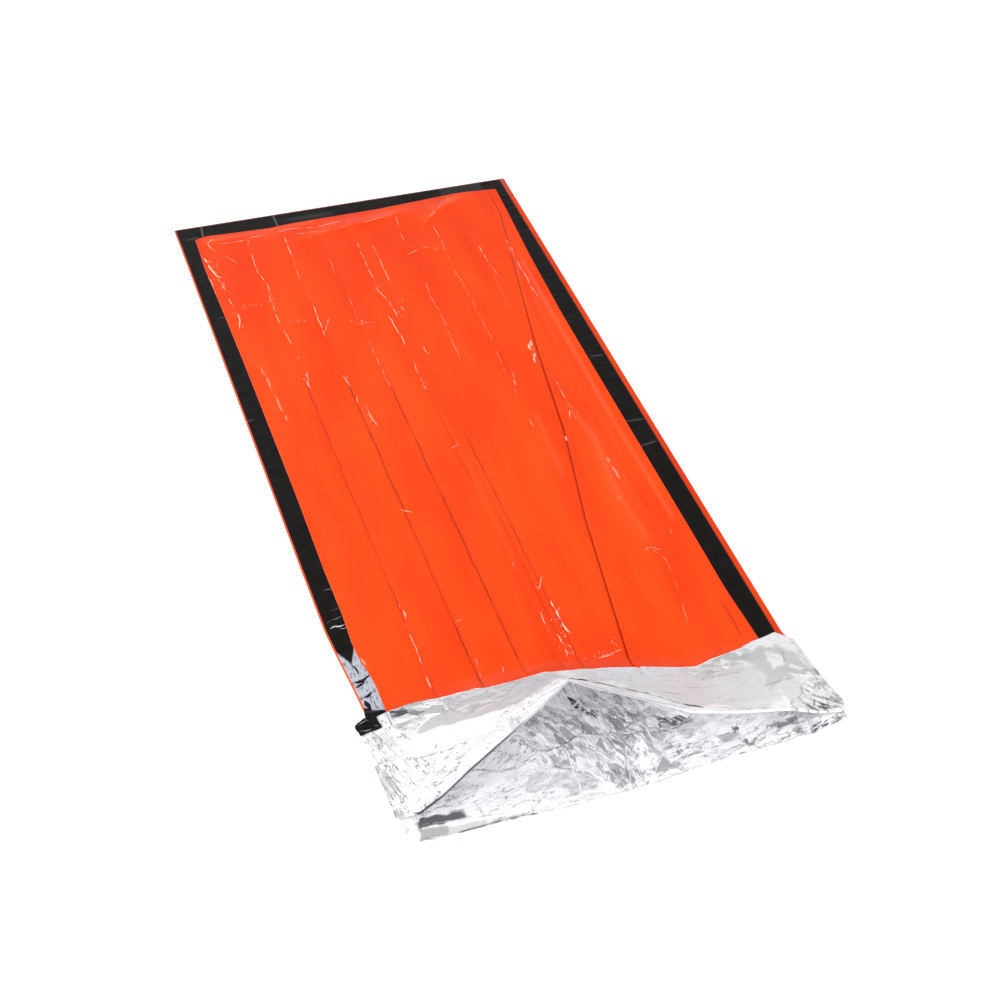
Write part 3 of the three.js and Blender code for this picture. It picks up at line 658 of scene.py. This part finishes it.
def make_orange():
    material, n, surface = new_material("orange_film")
    place, fold = n.place(), n.point_value("fold")
    crease_shade, light = n.point_value("dark"), n.point_value("ridge")
    wander = n.noise(n.stretched(place, 0, 1, 0), 9, 5)
    x = n.plus(n.parts(place)["X"], n.times(n.minus(wander, 0.5), 0.012))
    nearest = 1
    # a thin line of painted shadow along each storage crease, with a wider band of painted shade beside it
    for line, *_ in PAINTED_CREASE_SHADOWS:
        nearest = n.math("MINIMUM", nearest, n.apart(x, (line + BAG_TO_PART[0]) * MM))
    thin = n.fade(nearest, 0.0004, 0.0017, 1, 0)
    wide = n.fade(nearest, 0.001, 0.008, 1, 0)
    faint = n.fade(n.noise(n.stretched(place, 1, 0.5, 0), 22, 2), 0.4, 0.6, 0.45, 1)
    # painted shadow in the storage creases and along the pleat
    dark = n.larger(n.times(n.times(thin, crease_shade), faint), n.point_value("pleat"))
    tone = n.fade(n.noise(n.stretched(place, 1, 0.2, 0), 11, 5), 0.3, 0.7)
    colour = n.blend(tone, ORANGE, PALE_ORANGE)
    # painted highlight on the crests of the low folds, and painted shade in their troughs and towards the
    # foot
    colour = n.blend(n.fade(fold, 0, 1, 0, 0.5), colour, CREST_HIGHLIGHT)
    colour = n.blend(n.fade(fold, 0, -1, 0, 0.6), colour, TROUGH_SHADE)
    colour = n.blend(n.times(n.times(wide, crease_shade), 0.35), colour, BESIDE_CREASE_SHADE)
    colour = n.blend(n.times(dark, 0.9), colour, CREASE_SHADOW)
    # the ridges and specks are painted pale, partly stress whitening and partly a painted highlight
    colour = n.blend(n.times(light, 0.9), colour, RIDGE_WHITENING_AND_HIGHLIGHT)
    height = n.plus(n.times(n.noise(place, 45, 5), 0.0007), n.times(light, 0.0009))
    height = n.minus(height, n.times(dark, 0.0009))
    n.fill(surface, {"Base Color": colour, "Normal": n.bump(height, 0.8)})
    n.fill(surface, {"Roughness": 0.40, "Specular IOR Level": 0.15})
    return material


def make_silver():
    material, n, surface = new_material("silver_film")
    place, foil = n.place(), n.point_value("foil", "Vector")
    shade, crumple, matt = (n.point_value(name) for name in ("shade", "crumple", "matt"))
    shaken = n.shaken(n.stretched(foil, 2, 1, 1), 30, 0.016)
    shards = n.between(0.45, n.cell_value(shaken, 45), n.cell_value(shaken, 115))
    # painted shade and dark reflection on the foil, broken up into shards, with thin painted glints across
    # it
    whole = n.larger(n.fade(shade, 0.82, 0.9), n.fade(crumple, 0.15, 0.5, 1, 0))
    painted_shade = n.times(shade, n.between(whole, n.fade(shards, 0.30, 0.62, 0, 1.25), 1))
    glints = n.fade(n.apart(n.noise(foil, 70, 4), 0.47), 0.006, 0.03, 1, 0)
    glints = n.times(glints, n.fade(crumple, 0.3, 0.7))
    painted_shade = n.times(painted_shade, n.minus(1, glints))
    # fine dark lines along the wrinkles, painted shade
    lines = n.fade(n.apart(n.noise(foil, 85), 0.52), 0.003, 0.022, 1, 0)
    lines = n.times(lines, n.point_value("lines"))
    lines = n.times(lines, n.fade(n.noise(place, 16, 2), 0.34, 0.48, 0.2, 1))
    # painted shadow in the sharp creases
    painted_shade = n.larger(n.larger(painted_shade, n.times(lines, 0.8)), n.point_value("ridge"))
    colour = n.blend(painted_shade, n.blend(matt, FOIL, MATT_FOIL), SHADED_FOIL)
    rough = n.fade(n.noise(place, 35), 0.3, 0.7, 0.24, 0.38)
    tilted = n.plus(n.facets(shaken, 40, 0.8), n.facets(shaken, 120, 0.75))
    height = n.times(n.times(tilted, crumple), n.point_value("inside"))
    height = n.minus(height, n.times(lines, 0.0006))
    height = n.plus(height, n.times(n.noise(place, 160), 0.0002))
    n.fill(surface, {"Base Color": colour, "Normal": n.bump(height), "Specular IOR Level": 0.3})
    metallic = n.fade(matt, 0, 1, 0.35, 0)
    n.fill(surface, {"Metallic": metallic, "Roughness": n.between(matt, rough, 0.7)})
    return material


def make_tape():
    material, n, surface = new_material("black_tape")
    place, sheen = n.place(), n.point_value("sheen")
    grain = n.noise(place, 40, 5)
    streaks = n.noise(n.stretched(place, 1, 0.3, 0), 230, 4)
    cross = n.noise(n.stretched(place, 0.25, 1, 0), 130)
    # painted glare on the left tape, in streaks
    glare = n.times(sheen, n.fade(streaks, 0.32, 0.52, 0.35, 1))
    colour = n.blend(grain, BLACK, PALE_BLACK)
    # pale marks where the tapes are folded, painted highlights on their creases, and painted sheen on the
    # foot tape
    colour = n.blend(n.larger(n.point_value("mark"), n.point_value("ridge")), colour, TAPE_MARK_AND_HIGHLIGHT)
    colour = n.blend(glare, colour, TAPE_GLARE)
    height = n.times(n.times(cross, n.point_value("wrinkle")), 0.0009)
    height = n.plus(height, n.times(n.times(streaks, sheen), 0.0015))
    height = n.plus(height, n.times(grain, 0.0003))
    n.fill(surface, {"Base Color": colour, "Normal": n.bump(height), "Specular IOR Level": 0.16})
    n.fill(surface, {"Roughness": n.fade(grain, 0.35, 0.65, 0.28, 0.40)})
    return material


orange, silver, black = make_orange(), make_silver(), make_tape()


# Top film

# Its rows: close together up to a share of the panel at the foot, then the rest of the panel, the ramp,
# the lip and the cuff
FOOT_ROWS, FOOT_SHARE, PANEL_ROWS, RAMP_ROWS, LIP_ROWS, CUFF_ROWS = 20, 0.055, 74, 15, 9, 106
PANEL_FOOT_Y, PANEL_MOUTH_Y = 1018, -705
# Its columns from the left side over the creases and the pleat to the right side
COLUMNS = (24, 22, 22, 20, 12, 44, 4, 4, 44)
LIP_EVENNESS = 0.75  # how evenly they are spread along the lip
# how dark the painted shadow along the pleat is
PLEAT_SHADOW = 0.9
CREASE_CLEARANCE = 0.15
GRAIN_LENGTH, GRAIN_APART = 0.22, 40  # how foil patterns are drawn out, and set apart


def top_columns(y):
    left, right = sides_at(TOP_SIDES, y)
    pleat = look_up(PLEAT, y, "x")
    knots = [left, *CREASES["x"], pleat - PLEAT_REACH, pleat, pleat + PLEAT_REACH, right]
    parts = [spread(a, b, n)[1:] for a, b, n in zip(knots[:-1], knots[1:], COLUMNS)]
    return np.concatenate([[left], *parts])


def crease_shadows(x, y):
    """How strongly painted shadow darkens the storage creases at each place."""
    field = np.zeros_like(x)
    for line, start, end, strength in PAINTED_CREASE_SHADOWS:
        along = smooth(start - y, -15, 25) * smooth(y - end, -15, 25)
        near = 1 - smooth(np.abs(x - line), 5, 9)
        field = np.maximum(field, strength * along * near)
    return field


def specks():
    """Short ridges scattered over their patches."""
    rng = np.random.default_rng(SPECK_SEED)
    found = []
    for mid_x, mid_y, reach_x, reach_y, count in SPECKS:
        for _ in range(count):
            x = mid_x + reach_x * np.clip(rng.normal(0, 0.5), -1, 1)
            y = mid_y + reach_y * np.clip(rng.normal(0, 0.5), -1, 1)
            turn, length = rng.normal(1.5, 0.6), rng.uniform(1.5, 6)
            dx, dy = turned(length, 0, turn)
            half_width, strength = rng.uniform(0.9, 2.1), rng.uniform(0.6, 1)
            found.append((half_width, strength, x - dx, y - dy, x + dx, y + dy))
    return found


def foil_grain(rows, x, y):
    """For each place of a foil, the pattern's own places drawn out along the wrinkles of the
    nearest stretch, how strong its fine lines of painted shade and its facets are, and whether it is well
    inside."""
    rows = np.array(rows, float)
    warped_x = x + 25 * lattice_noise(x, y, 60, 71)
    warped_y = y + 20 * lattice_noise(x, y, 60, 73)
    away = np.hypot(warped_x[..., None] - rows[:, 0], 1.6 * (warped_y[..., None] - rows[:, 1]))
    nearest = np.argmin(away, axis=-1)
    two = np.partition(away, 1, axis=-1)
    inside = smooth(two[..., 1] - two[..., 0], 3, 8)
    turn, lines, crumple = rows[nearest, 2:].transpose(2, 0, 1)
    along, across = turned(x, y, -np.radians(turn))
    places = stacked(GRAIN_LENGTH * along, across, GRAIN_APART * nearest) * MM
    return {"foil": places, "lines": inside * lines, "crumple": crumple, "inside": inside}


def painted_shade_patches(rows, x, y):
    """How much shade and dark reflection is painted on the patches of a foil, with ragged edges."""
    field = np.zeros_like(x)
    ragged = 0.30 * facets(x, y, 30, 91, 0.4) + 0.12 * facets(x, y, 11, 95, 1.1)
    for mid_x, mid_y, reach_x, reach_y, turn, strength in rows:
        along, across = turned(x - mid_x, y - mid_y, -turn)
        away = np.maximum(np.abs(along) / reach_x, np.abs(across) / reach_y + 0.3 * along / reach_x)
        share = 1 - smooth(away + ragged, 0.85, 1)
        if strength < 0:
            field = field * (1 + strength * share)
        else:
            field = np.maximum(field, strength * share)
    return field


def nearest_height(grid):
    """A function for the height of the nearest of a grid's points."""
    spots = grid.reshape(-1, 3)

    def height(x, y):
        away = np.hypot(spots[:, 0] - x[:, None], spots[:, 1] - y[:, None])
        return spots[np.argmin(away, axis=1), 2] + FILM / 2 + CREASE_CLEARANCE

    return height


def lip_shade(x, rows_from_lip):
    """Painted shade on the fold of the lip: a dark painted shadow on the left of the peak and at its low
    end, and lighter painted shade right of it.
    """
    on_lip = (rows_from_lip >= -5) & (rows_from_lip <= 1)
    left = (0.45 + 0.5 * smooth(-x, 150, 260)) * window(x, -420, -405, -90, -60)
    right = 0.5 * window(x, -95, -60, 60, 170)
    low_end = window(x, -424, -414, -372, -352)
    return on_lip * np.maximum(np.maximum(left, right), low_end)


def cuff_y(x, from_edge):
    """Place along the bag of a point on the cuff."""
    return mix(look_up(CUFF_EDGE, x, "y"), look_up(LIP, x, "y"), from_edge / CUFF_WIDTH)


def cuff_row(x, share, roll):
    """A row of points on the cuff, from share 0 at the lip to 1 at the cut edge."""
    edge = look_up(CUFF_EDGE, x, "y") + look_up(EDGE_REACH, x, "reach")
    y = mix(look_up(LIP, x, "y"), edge, share)
    lift = cuff_lift(x, y) + roll * (1 - smooth(share, 0, 0.25))
    under_tab = smooth(-x, 395, 412) * smooth(share, 0.72, 0.84)
    rough = smooth(share, 0, 0.10) * (1 - under_tab)
    from_edge = 1 - share
    crumples = crumpled(CUFF_CRUMPLES, x, y, x, from_edge, CUFF_SEED)
    curl = EDGE_CURL * np.clip(1 - from_edge / EDGE_CURL_REACH, 0, 1)
    curl = curl * window(x, -412, -385, 380, 440)
    pillow = PILLOW * rough * np.sin(np.pi * share)
    extra = np.maximum(rough * (CUFF_LOOSENESS + crumples) + curl + pillow, 1 - lift)
    return stacked(x, y, ramp_height(x, y) + lift + extra)


def top_grid():
    """The film's points in rows from the foot to the lip and back to the cut edge, and the number of
    the first row on the cuff."""
    grid = []
    foot = np.linspace(0, FOOT_SHARE, FOOT_ROWS)[:-1]
    for share in (*foot, *np.linspace(FOOT_SHARE, 1, PANEL_ROWS)):
        x = top_columns(mix(PANEL_FOOT_Y, PANEL_MOUTH_Y, share))
        y = mix(look_up(TOP_FOOT, x, "y"), ramp_base(x), share)
        grid.append(stacked(x, y, top_height(x, y)))
    base = top_columns(PANEL_MOUTH_Y)
    even = np.linspace(LIP["x"][0], LIP["x"][-1], len(base))
    lip_x = mix(base, even, LIP_EVENNESS)
    lip_x[0], lip_x[-1] = even[0], even[-1]
    for share in np.linspace(0, 1, RAMP_ROWS)[1:]:
        x = mix(base, lip_x, smooth(share, FLARE_START, 1))
        y = mix(ramp_base(x), look_up(LIP, x, "y"), share)
        grid.append(stacked(x, y, ramp_height(x, y)))
    lip = grid[-1]
    roll = look_up(LIP_ROLL, lip[:, 0], "height")
    radius = (cuff_lift(lip[:, 0], lip[:, 1]) + roll) / 2
    for angle in np.linspace(-np.pi / 2, np.pi / 2, LIP_ROWS)[1:-1]:
        out = np.array([0, -math.cos(angle), 1 + math.sin(angle)])
        grid.append(lip + radius[:, None] * out)
    first_cuff_row = len(grid)
    across = (lip_x - lip_x[0]) / (lip_x[-1] - lip_x[0])
    edge_x = mix(CUFF_LEFT, CUFF_RIGHT, across)
    near_right = smooth(across, BULGE_START, 1)
    for share in np.linspace(0, 1, CUFF_ROWS):
        x = mix(lip_x, edge_x, share) + near_right * look_up(RIGHT_BULGE, share, "out")
        grid.append(cuff_row(x, share, roll))
    return np.array(grid), first_cuff_row


def make_top_film():
    grid, first_cuff_row = top_grid()
    x, y = grid[:, :, 0], grid[:, :, 1]
    rows_from_lip = np.arange(len(grid))[:, None] - first_cuff_row
    on_panel, on_cuff = 1 * (rows_from_lip < 0), 1 * (rows_from_lip >= 0)
    on_pleat = 1 - smooth(np.abs(x - look_up(PLEAT, y, "x")), 0.4, 2.4)
    edge, lip_y = look_up(CUFF_EDGE, x, "y"), look_up(LIP, x, "y")
    from_edge = CUFF_WIDTH * np.clip((edge - y) / (edge - lip_y), 0, 1)
    # a band of painted dark reflection along the left of the cut edge
    ragged_edge = from_edge + 5 * facets(x, y, 25, 97, 0.3)
    band = 1 - smooth(ragged_edge - look_up(CUFF_BAND, x, "width"), -2, 2)
    band = BAND_SHADE * band * window(x, -396, -384, -110, -40)
    patches = np.maximum(band, painted_shade_patches(CUFF_PATCHES, x, from_edge))
    values = {
        # painted shadow along the storage creases and the pleat
        "dark": on_panel * crease_shadows(x, y),
        "pleat": on_panel * on_pleat * PLEAT_SHADOW * look_up(PLEAT, y, "depth") ** 0.4,
        # painted highlight and shade of the low folds
        "fold": on_panel * painted_fold_shade(x, y),
        # painted shade on the lip, and painted shade and dark reflection on the cuff
        "shade": np.maximum(lip_shade(x, rows_from_lip), on_cuff * patches),
        "matt": on_cuff * np.exp(-(np.abs((x + 30) / 190) ** 3)),
        **foil_grain(CUFF_GRAIN, x, from_edge),
    }
    creases = []
    for half_width, strength, *course in CUFF_CREASES:
        course = [(x, cuff_y(x, from_edge)) for x, from_edge in zip(course[::2], course[1::2])]
        creases.append((half_width, strength, *course))
    ridges = [
        ridge_meshes((*RIDGES, *specks()), lambda x, y: top_height(x, y) + FILM / 2, 1),
        ridge_meshes(creases, nearest_height(grid[first_cuff_row:]), 0),
    ]
    return closed_sheet("top_film_sheet", grid, FILM, [silver, orange], values, ridges)


# Bottom film

# the last is how much darker the hem is painted on the right
HEM_WIDTH, HEM_RADIUS, HEM_MITRE, HEM_DARKENING = 72, 0.9, 1, 0.25
HEM_END_Y = -800  # the side hems end under the cuff
FRONT_Y, FRONT_BACK_Y = -1050, -760  # the part in the mouth
DRAWN_IN_Y = -300  # the left side is drawn in from here towards the cuff
# Points across the hem and its fold, columns between the folds, and rows in the mouth, on to where
# the side is drawn in and on to the foot
HEM_POINTS, FOLD_POINTS, FLAT_COLUMNS, FRONT_ROWS, DRAWN_IN_ROWS, BACK_ROWS = 4, 7, 260, 120, 24, 14


def make_bottom_film():
    angles = np.linspace(np.pi / 2, -np.pi / 2, FOLD_POINTS)
    hem = np.linspace(HEM_WIDTH, 0, HEM_POINTS + 1)[:-1]
    inset = np.concatenate([hem, HEM_RADIUS * (1 - np.cos(angles))])
    level = np.concatenate([np.full(HEM_POINTS, HEM_Z), BOTTOM_Z + HEM_RADIUS * (1 + np.sin(angles))])
    fold = len(inset) - 1
    flat = np.linspace(0, 1, FLAT_COLUMNS + 1)[1:-1]
    z_across = np.concatenate([level, np.full(len(flat), BOTTOM_Z), level[::-1]])
    side = np.concatenate([inset, np.full(len(flat), HEM_RADIUS), inset[::-1]])
    is_flat = np.concatenate([np.zeros(fold), np.ones(len(flat) + 2), np.zeros(fold)])
    row_front = np.linspace(0, 1, FRONT_ROWS + 1)[:-1]
    rows = [("front", s) for s in row_front]
    rows += [("flat", y) for y in np.linspace(FRONT_BACK_Y, DRAWN_IN_Y, DRAWN_IN_ROWS)]
    rows += [("flat", y) for y in np.linspace(DRAWN_IN_Y, FOOT_Y - HEM_RADIUS, BACK_ROWS)[1:]]
    first_foot = len(rows) - 1
    rows += [("foot", i) for i in range(fold - 1, -1, -1)]
    first_hem = int(np.argmax(mix(FRONT_Y, FRONT_BACK_Y, row_front) > HEM_END_Y))
    grid = []
    for part, value in rows:
        nominal = {"front": mix(-FOOT_Y, FRONT_BACK_Y, value), "flat": value, "foot": FOOT_Y}[part]
        left, right = sides_at(BOTTOM_SIDES, nominal)
        mitred = inset[value] + HEM_MITRE if part == "foot" else 0
        start, drawn = max(HEM_RADIUS, mitred), np.maximum(inset, mitred)
        x = np.concatenate([left + drawn, mix(left + start, right - start, flat), right - drawn[::-1]])
        z = z_across
        if part == "foot":
            y = np.full_like(x, FOOT_Y - inset[value])
            z = np.full_like(x, level[value])
        if part == "flat":
            y = np.minimum(nominal, FOOT_Y - np.maximum(HEM_RADIUS, side + HEM_MITRE * (side > HEM_RADIUS)))
        if part == "front":
            front = look_up(BOTTOM_FRONT, x, "y")
            y = mix(front, FRONT_BACK_Y, value)
            inner = np.minimum(x - left, right - x)
            beyond_hem = smooth(-y, 820, 880)
            off_hem = np.maximum(smooth(inner, 70, 110), beyond_hem * smooth(inner, 0, 25))
            rough = smooth(-y, 800, 870) * off_hem * smooth(y - front, 0, 30)
            crumples = MOUTH_LOOSENESS + crumpled(MOUTH_CRUMPLES, x, y, x, y, MOUTH_SEED)
            z = z + is_flat * rough * np.maximum(0, crumples)
        grid.append(stacked(x, y, z))
    grid = np.array(grid)
    cells = np.ones((grid.shape[0] - 1, grid.shape[1] - 1), bool)
    for side_cells in (cells[:, :fold], cells[:, -fold:]):
        side_cells[:first_hem] = False
        side_cells[first_foot:] = False
    x, y = grid[:, :, 0], grid[:, :, 1]
    values = {
        # the hem is painted darker on the right and paler on the left
        "pleat": HEM_DARKENING * (x > 0),
        "fold": 1 * (x < 0),
        # painted shade and dark reflection in the mouth
        "shade": painted_shade_patches(MOUTH_PATCHES, x, y),
        **foil_grain(MOUTH_GRAIN, x, y),
    }
    ridges = [ridge_meshes(MOUTH_CREASES, nearest_height(grid[:FRONT_ROWS]), 0)]
    return closed_sheet("bottom_film_sheet", grid, FILM, [silver, orange], values, ridges, cells)


# Tape

# Its sides, its ends along the bag, and the foot tape's ends and sides
LEFT_TAPE_X, RIGHT_TAPE_X, SIDE_TAPE_Y = (-453.5, -393.5), (385, 443), (-900, 1063)
FOOT_TAPE_X, FOOT_TAPE_Y = (-393.2, 384.7), (999, 1063)
# Faint lines across the tapes where they have been folded: places along the bag
LEFT_LINES, RIGHT_LINES, FOOT_LINES = (1012, 700, 650, 240), (740, 240, -20, -110, -445), (-390, -193)
# Creases of the left tape: half width, strength and course; those above nought are painted highlights, and
# those of strength nought are black
LEFT_CREASES = (
    (1.4, 0.9, -427, -367, -409, -364), (0.9, 0.4, -430, -430, -411, -424),
    (1, 0.5, -446, -458, -411, -450), (2.4, 0.9, -443, -480, -431, -476, -425, -479, -407, -474),
    (1.4, 0.7, -423, -484, -410, -487), (2.4, 0, -427, -582, -422, -608, -422, -620),
    (2.6, 0, -442, -616, -426, -617), (5, 0, -436, -643, -419, -642, -400, -630),
    (3.4, 0, -438, -657, -424, -651, -411, -643), (3.6, 0, -436, -686, -421, -684, -407, -677),
    (6, 0, -429, -694, -427, -712, -426, -735), (4.5, 0, -410, -700, -413, -728),
    (6, 0, -431, -731, -412, -735, -400, -732),
)
# Where the painted glare on the left tape begins, and how high its creases lie
SHEEN_VEE = table("x y", (-454, -540), (-445, -555), (-427, -589), (-411, -546), (-393, -520))
LEFT_CREASE_Z = TAPE_Z + 0.55


def cross_lines(along, across, places):
    field = np.zeros_like(along)
    for k, place in enumerate(places):
        slant = 0.15 * math.sin(2.3 * k + 1) * (across - across.mean())
        field = field + np.exp(-(((along - place - slant) / 2) ** 2))
    return np.clip(field, 0, 1)


def tape_waves(x, y, seed):
    return TAPE_Z + 0.22 * lattice_noise(x, y, 16, seed)


def side_strip(name, x, y, lines, wrinkle, sheen, ridges=()):
    """A strip of tape along one side."""
    marks = cross_lines(y, x, lines)
    z = tape_waves(x, y, 43) + 0.2 * marks + 0.25 * wrinkle * lattice_noise(x * 0.3, y, 5, 41)
    part = smooth(lattice_noise(x, y, 30, 45), -0.2, 0.4)
    values = {"mark": 0.12 * marks * part, "wrinkle": wrinkle, "sheen": sheen}
    return closed_sheet(name, stacked(x, y, z), TAPE, [black], values, ridges)


def make_side_tapes():
    across, y = np.meshgrid(np.linspace(0, 1, 25), np.linspace(*SIDE_TAPE_Y, 900))
    drawn_in = np.maximum(look_up(BOTTOM_SIDES, y, "left") + HALF_WIDTH, 0)
    x = mix(LEFT_TAPE_X[0] + drawn_in, LEFT_TAPE_X[1], across)
    # where glare is painted on the left tape
    sheen = smooth(look_up(SHEEN_VEE, x, "y") - y, -2, 4) * smooth(y, -733, -726)
    ridges = [ridge_meshes(LEFT_CREASES, lambda x, y: np.full_like(x, LEFT_CREASE_Z), 0)]
    left = side_strip("left_tape_strip", x, y, LEFT_LINES, 0.3 + 0.4 * sheen, sheen, ridges)
    x = mix(*RIGHT_TAPE_X, across)
    wrinkle = 0.15 + 0.85 * smooth(y, 0, 200)
    return left, side_strip("right_tape_strip", x, y, RIGHT_LINES, wrinkle, np.zeros_like(x))


def make_foot_tape():
    x, y = np.meshgrid(np.linspace(*FOOT_TAPE_X, 380), np.linspace(*FOOT_TAPE_Y, 16))
    marks = cross_lines(x, y, FOOT_LINES)
    z = tape_waves(x, y, 47) + 0.25 * marks
    # painted sheen: paler at the right end, and along a sweep in the middle
    sheen_at_right_end = 0.03 * smooth(x, 264, 268)
    sheen_sweep = 0.05 * np.exp(-(((y - 1030) / 9) ** 2)) * window(x, -210, -120, -60, -20)
    values = {"mark": 0.2 * marks + sheen_at_right_end + sheen_sweep, "wrinkle": np.full_like(x, 0.3)}
    return closed_sheet("foot_tape_strip", stacked(x, y, z), TAPE, [black], values)


# The tab over the cuff's back left corner
TAB_CLIMB, TAB_TOP = -722, -737  # where it climbs from the tape on to the cuff
TAB_OVER_CUFF, TAB_OVER_TAPE = 2.2, 0.8
# Its sides, from the front on the cuff to the back on the tape
TAB_SIDES = table(
    "share left left_y right right_y", (0, -464, -788, -418, -779), (0.4, -468, -760, -420, -748),
    (0.6, -440, -743, -408, -742), (1, -437, -714, -404, -736),
)
# Creases of the tab, painted pale as highlights: half width, strength and course
TAB_CREASES = (
    (2, 0.8, -460, -761, -451, -757, -443, -751), (1.8, 0.7, -462, -777, -450, -779, -438, -776),
    (1.5, 0.6, -441, -746, -437, -756), (1.3, 0.5, -431, -771, -423, -776),
)


def make_corner_tab():
    across, along = np.meshgrid(np.linspace(0, 1, 24), np.linspace(0, 1, 40))
    x = mix(*sides_at(TAB_SIDES, along), across)
    y = mix(look_up(TAB_SIDES, along, "left_y"), look_up(TAB_SIDES, along, "right_y"), across)
    x, y = x + 2 * facets(x, y, 13, 63, 0.2), y + 2 * facets(x, y, 13, 67, 0.9)
    over_cuff = ramp_height(x, y) + cuff_lift(x, y) + TAB_OVER_CUFF
    z = mix(over_cuff, TAPE_Z + TAPE + TAB_OVER_TAPE, smooth(y, TAB_TOP, TAB_CLIMB))
    grid = stacked(x, y, z + 1.2 * facets(x, y, 12, 61, 0.5))
    ridges = [ridge_meshes(TAB_CREASES, nearest_height(grid), 0)]
    return closed_sheet("corner_tab_strip", grid, TAPE, [black], {"wrinkle": np.ones_like(x)}, ridges)


top_film = make_top_film()
bottom_film = make_bottom_film()
left_tape, right_tape = make_side_tapes()
foot_tape = make_foot_tape()
corner_tab = make_corner_tab()

for piece, node, slot in (
    (top_film, "top_film", "orange_film"),
    (bottom_film, "bottom_film", "silver_film"),
    (left_tape, "left_tape", "black_tape"),
    (right_tape, "right_tape", "black_tape"),
    (foot_tape, "foot_tape", "black_tape"),
    (corner_tab, "corner_tab", "black_tape"),
):
    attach(piece, "root")
    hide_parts(node)

# Floor, light and camera, in metres

FLOOR_REACH, FLOOR_Z = 12, -0.0005
LAMP_PLACE, LAMP_TARGET = Vector((-2.6, -1.7, 2)), Vector((0, -0.3, 0))
LAMP_WIDTH, LAMP_HEIGHT, LAMP_POWER = 2.2, 1.6, 36


def make_floor():
    mesh = bpy.data.meshes.new("floor")
    corners = [(FLOOR_REACH * x, FLOOR_REACH * y, 0) for x, y in ((-1, -1), (1, -1), (1, 1), (-1, 1))]
    mesh.from_pydata(corners, [], [(0, 1, 2, 3)])
    material, n, surface = new_material("floor")
    n.fill(surface, {"Base Color": (0.9, 0.9, 0.9, 1), "Roughness": 0.9})
    n.fill(surface, {"Emission Color": WHITE, "Emission Strength": 0.3})
    mesh.materials.append(material)
    floor = added("floor", mesh)
    floor.location.z = FLOOR_Z
    return floor


floor = make_floor()


def make_lamp():
    data = bpy.data.lights.new("window", "AREA")
    data.shape = "RECTANGLE"
    data.size, data.size_y, data.energy = LAMP_WIDTH, LAMP_HEIGHT, LAMP_POWER
    lamp = added("window", data)
    lamp.location = LAMP_PLACE
    lamp.rotation_euler = (LAMP_TARGET - LAMP_PLACE).to_track_quat("-Z", "Y").to_euler()


def make_world():
    """A white room: bright all round and overhead, dimmer between them ahead on the right."""
    world = bpy.data.worlds.new("studio")
    world.use_nodes = True
    n = Nodes(world.node_tree)
    way = n.parts(n.add("TexCoord").outputs["Generated"])
    ahead = n.fade(way["Y"], -0.1, 0.45)
    horizon = n.between(ahead, 1.8, n.fade(way["X"], 0.15, 0.36, 1.2, 0.78))
    middle = n.between(ahead, 1.5, n.fade(way["X"], 0, 0.13, 1, 0.34))
    light = n.between(n.fade(way["Z"], 0.27, 0.43), horizon, middle)
    light = n.between(n.fade(way["Z"], 0.78, 0.92), light, 0.7)
    light = n.between(n.add("LightPath").outputs["Is Camera Ray"], light, 1)
    n.fill(world.node_tree.nodes["Background"].inputs, {"Strength": light, "Color": WHITE})
    bpy.context.scene.world = world


make_lamp()
make_world()
bpy.context.scene.view_settings.view_transform = "Standard"

# The camera, fitted to the photograph's view
LENS_MM, SENSOR_MM = 71.01, 36
CAMERA_PLACE = (-1098, -3312, 2930)  # in the bag's own frame
PITCH, YAW, ROLL = 0.7239, -0.3456, 0.0342


def make_camera():
    data = bpy.data.cameras.new("camera")
    data.lens, data.sensor_width, data.sensor_fit = LENS_MM, SENSOR_MM, "HORIZONTAL"
    camera = added("camera", data)
    right = Vector((math.cos(YAW), math.sin(YAW), 0))
    ahead = Vector((-math.sin(YAW), math.cos(YAW), 0)) * math.cos(PITCH)
    ahead.z = -math.sin(PITCH)
    up = right.cross(ahead)
    right, up = right * math.cos(ROLL) + up * math.sin(ROLL), up * math.cos(ROLL) - right * math.sin(ROLL)
    turn = Matrix((right, up, -ahead)).transposed()
    place = Vector((np.array(CAMERA_PLACE) + BAG_TO_PART) * MM)
    camera.matrix_world = Matrix.Translation(place) @ turn.to_4x4()
    bpy.context.scene.camera = camera


make_camera()
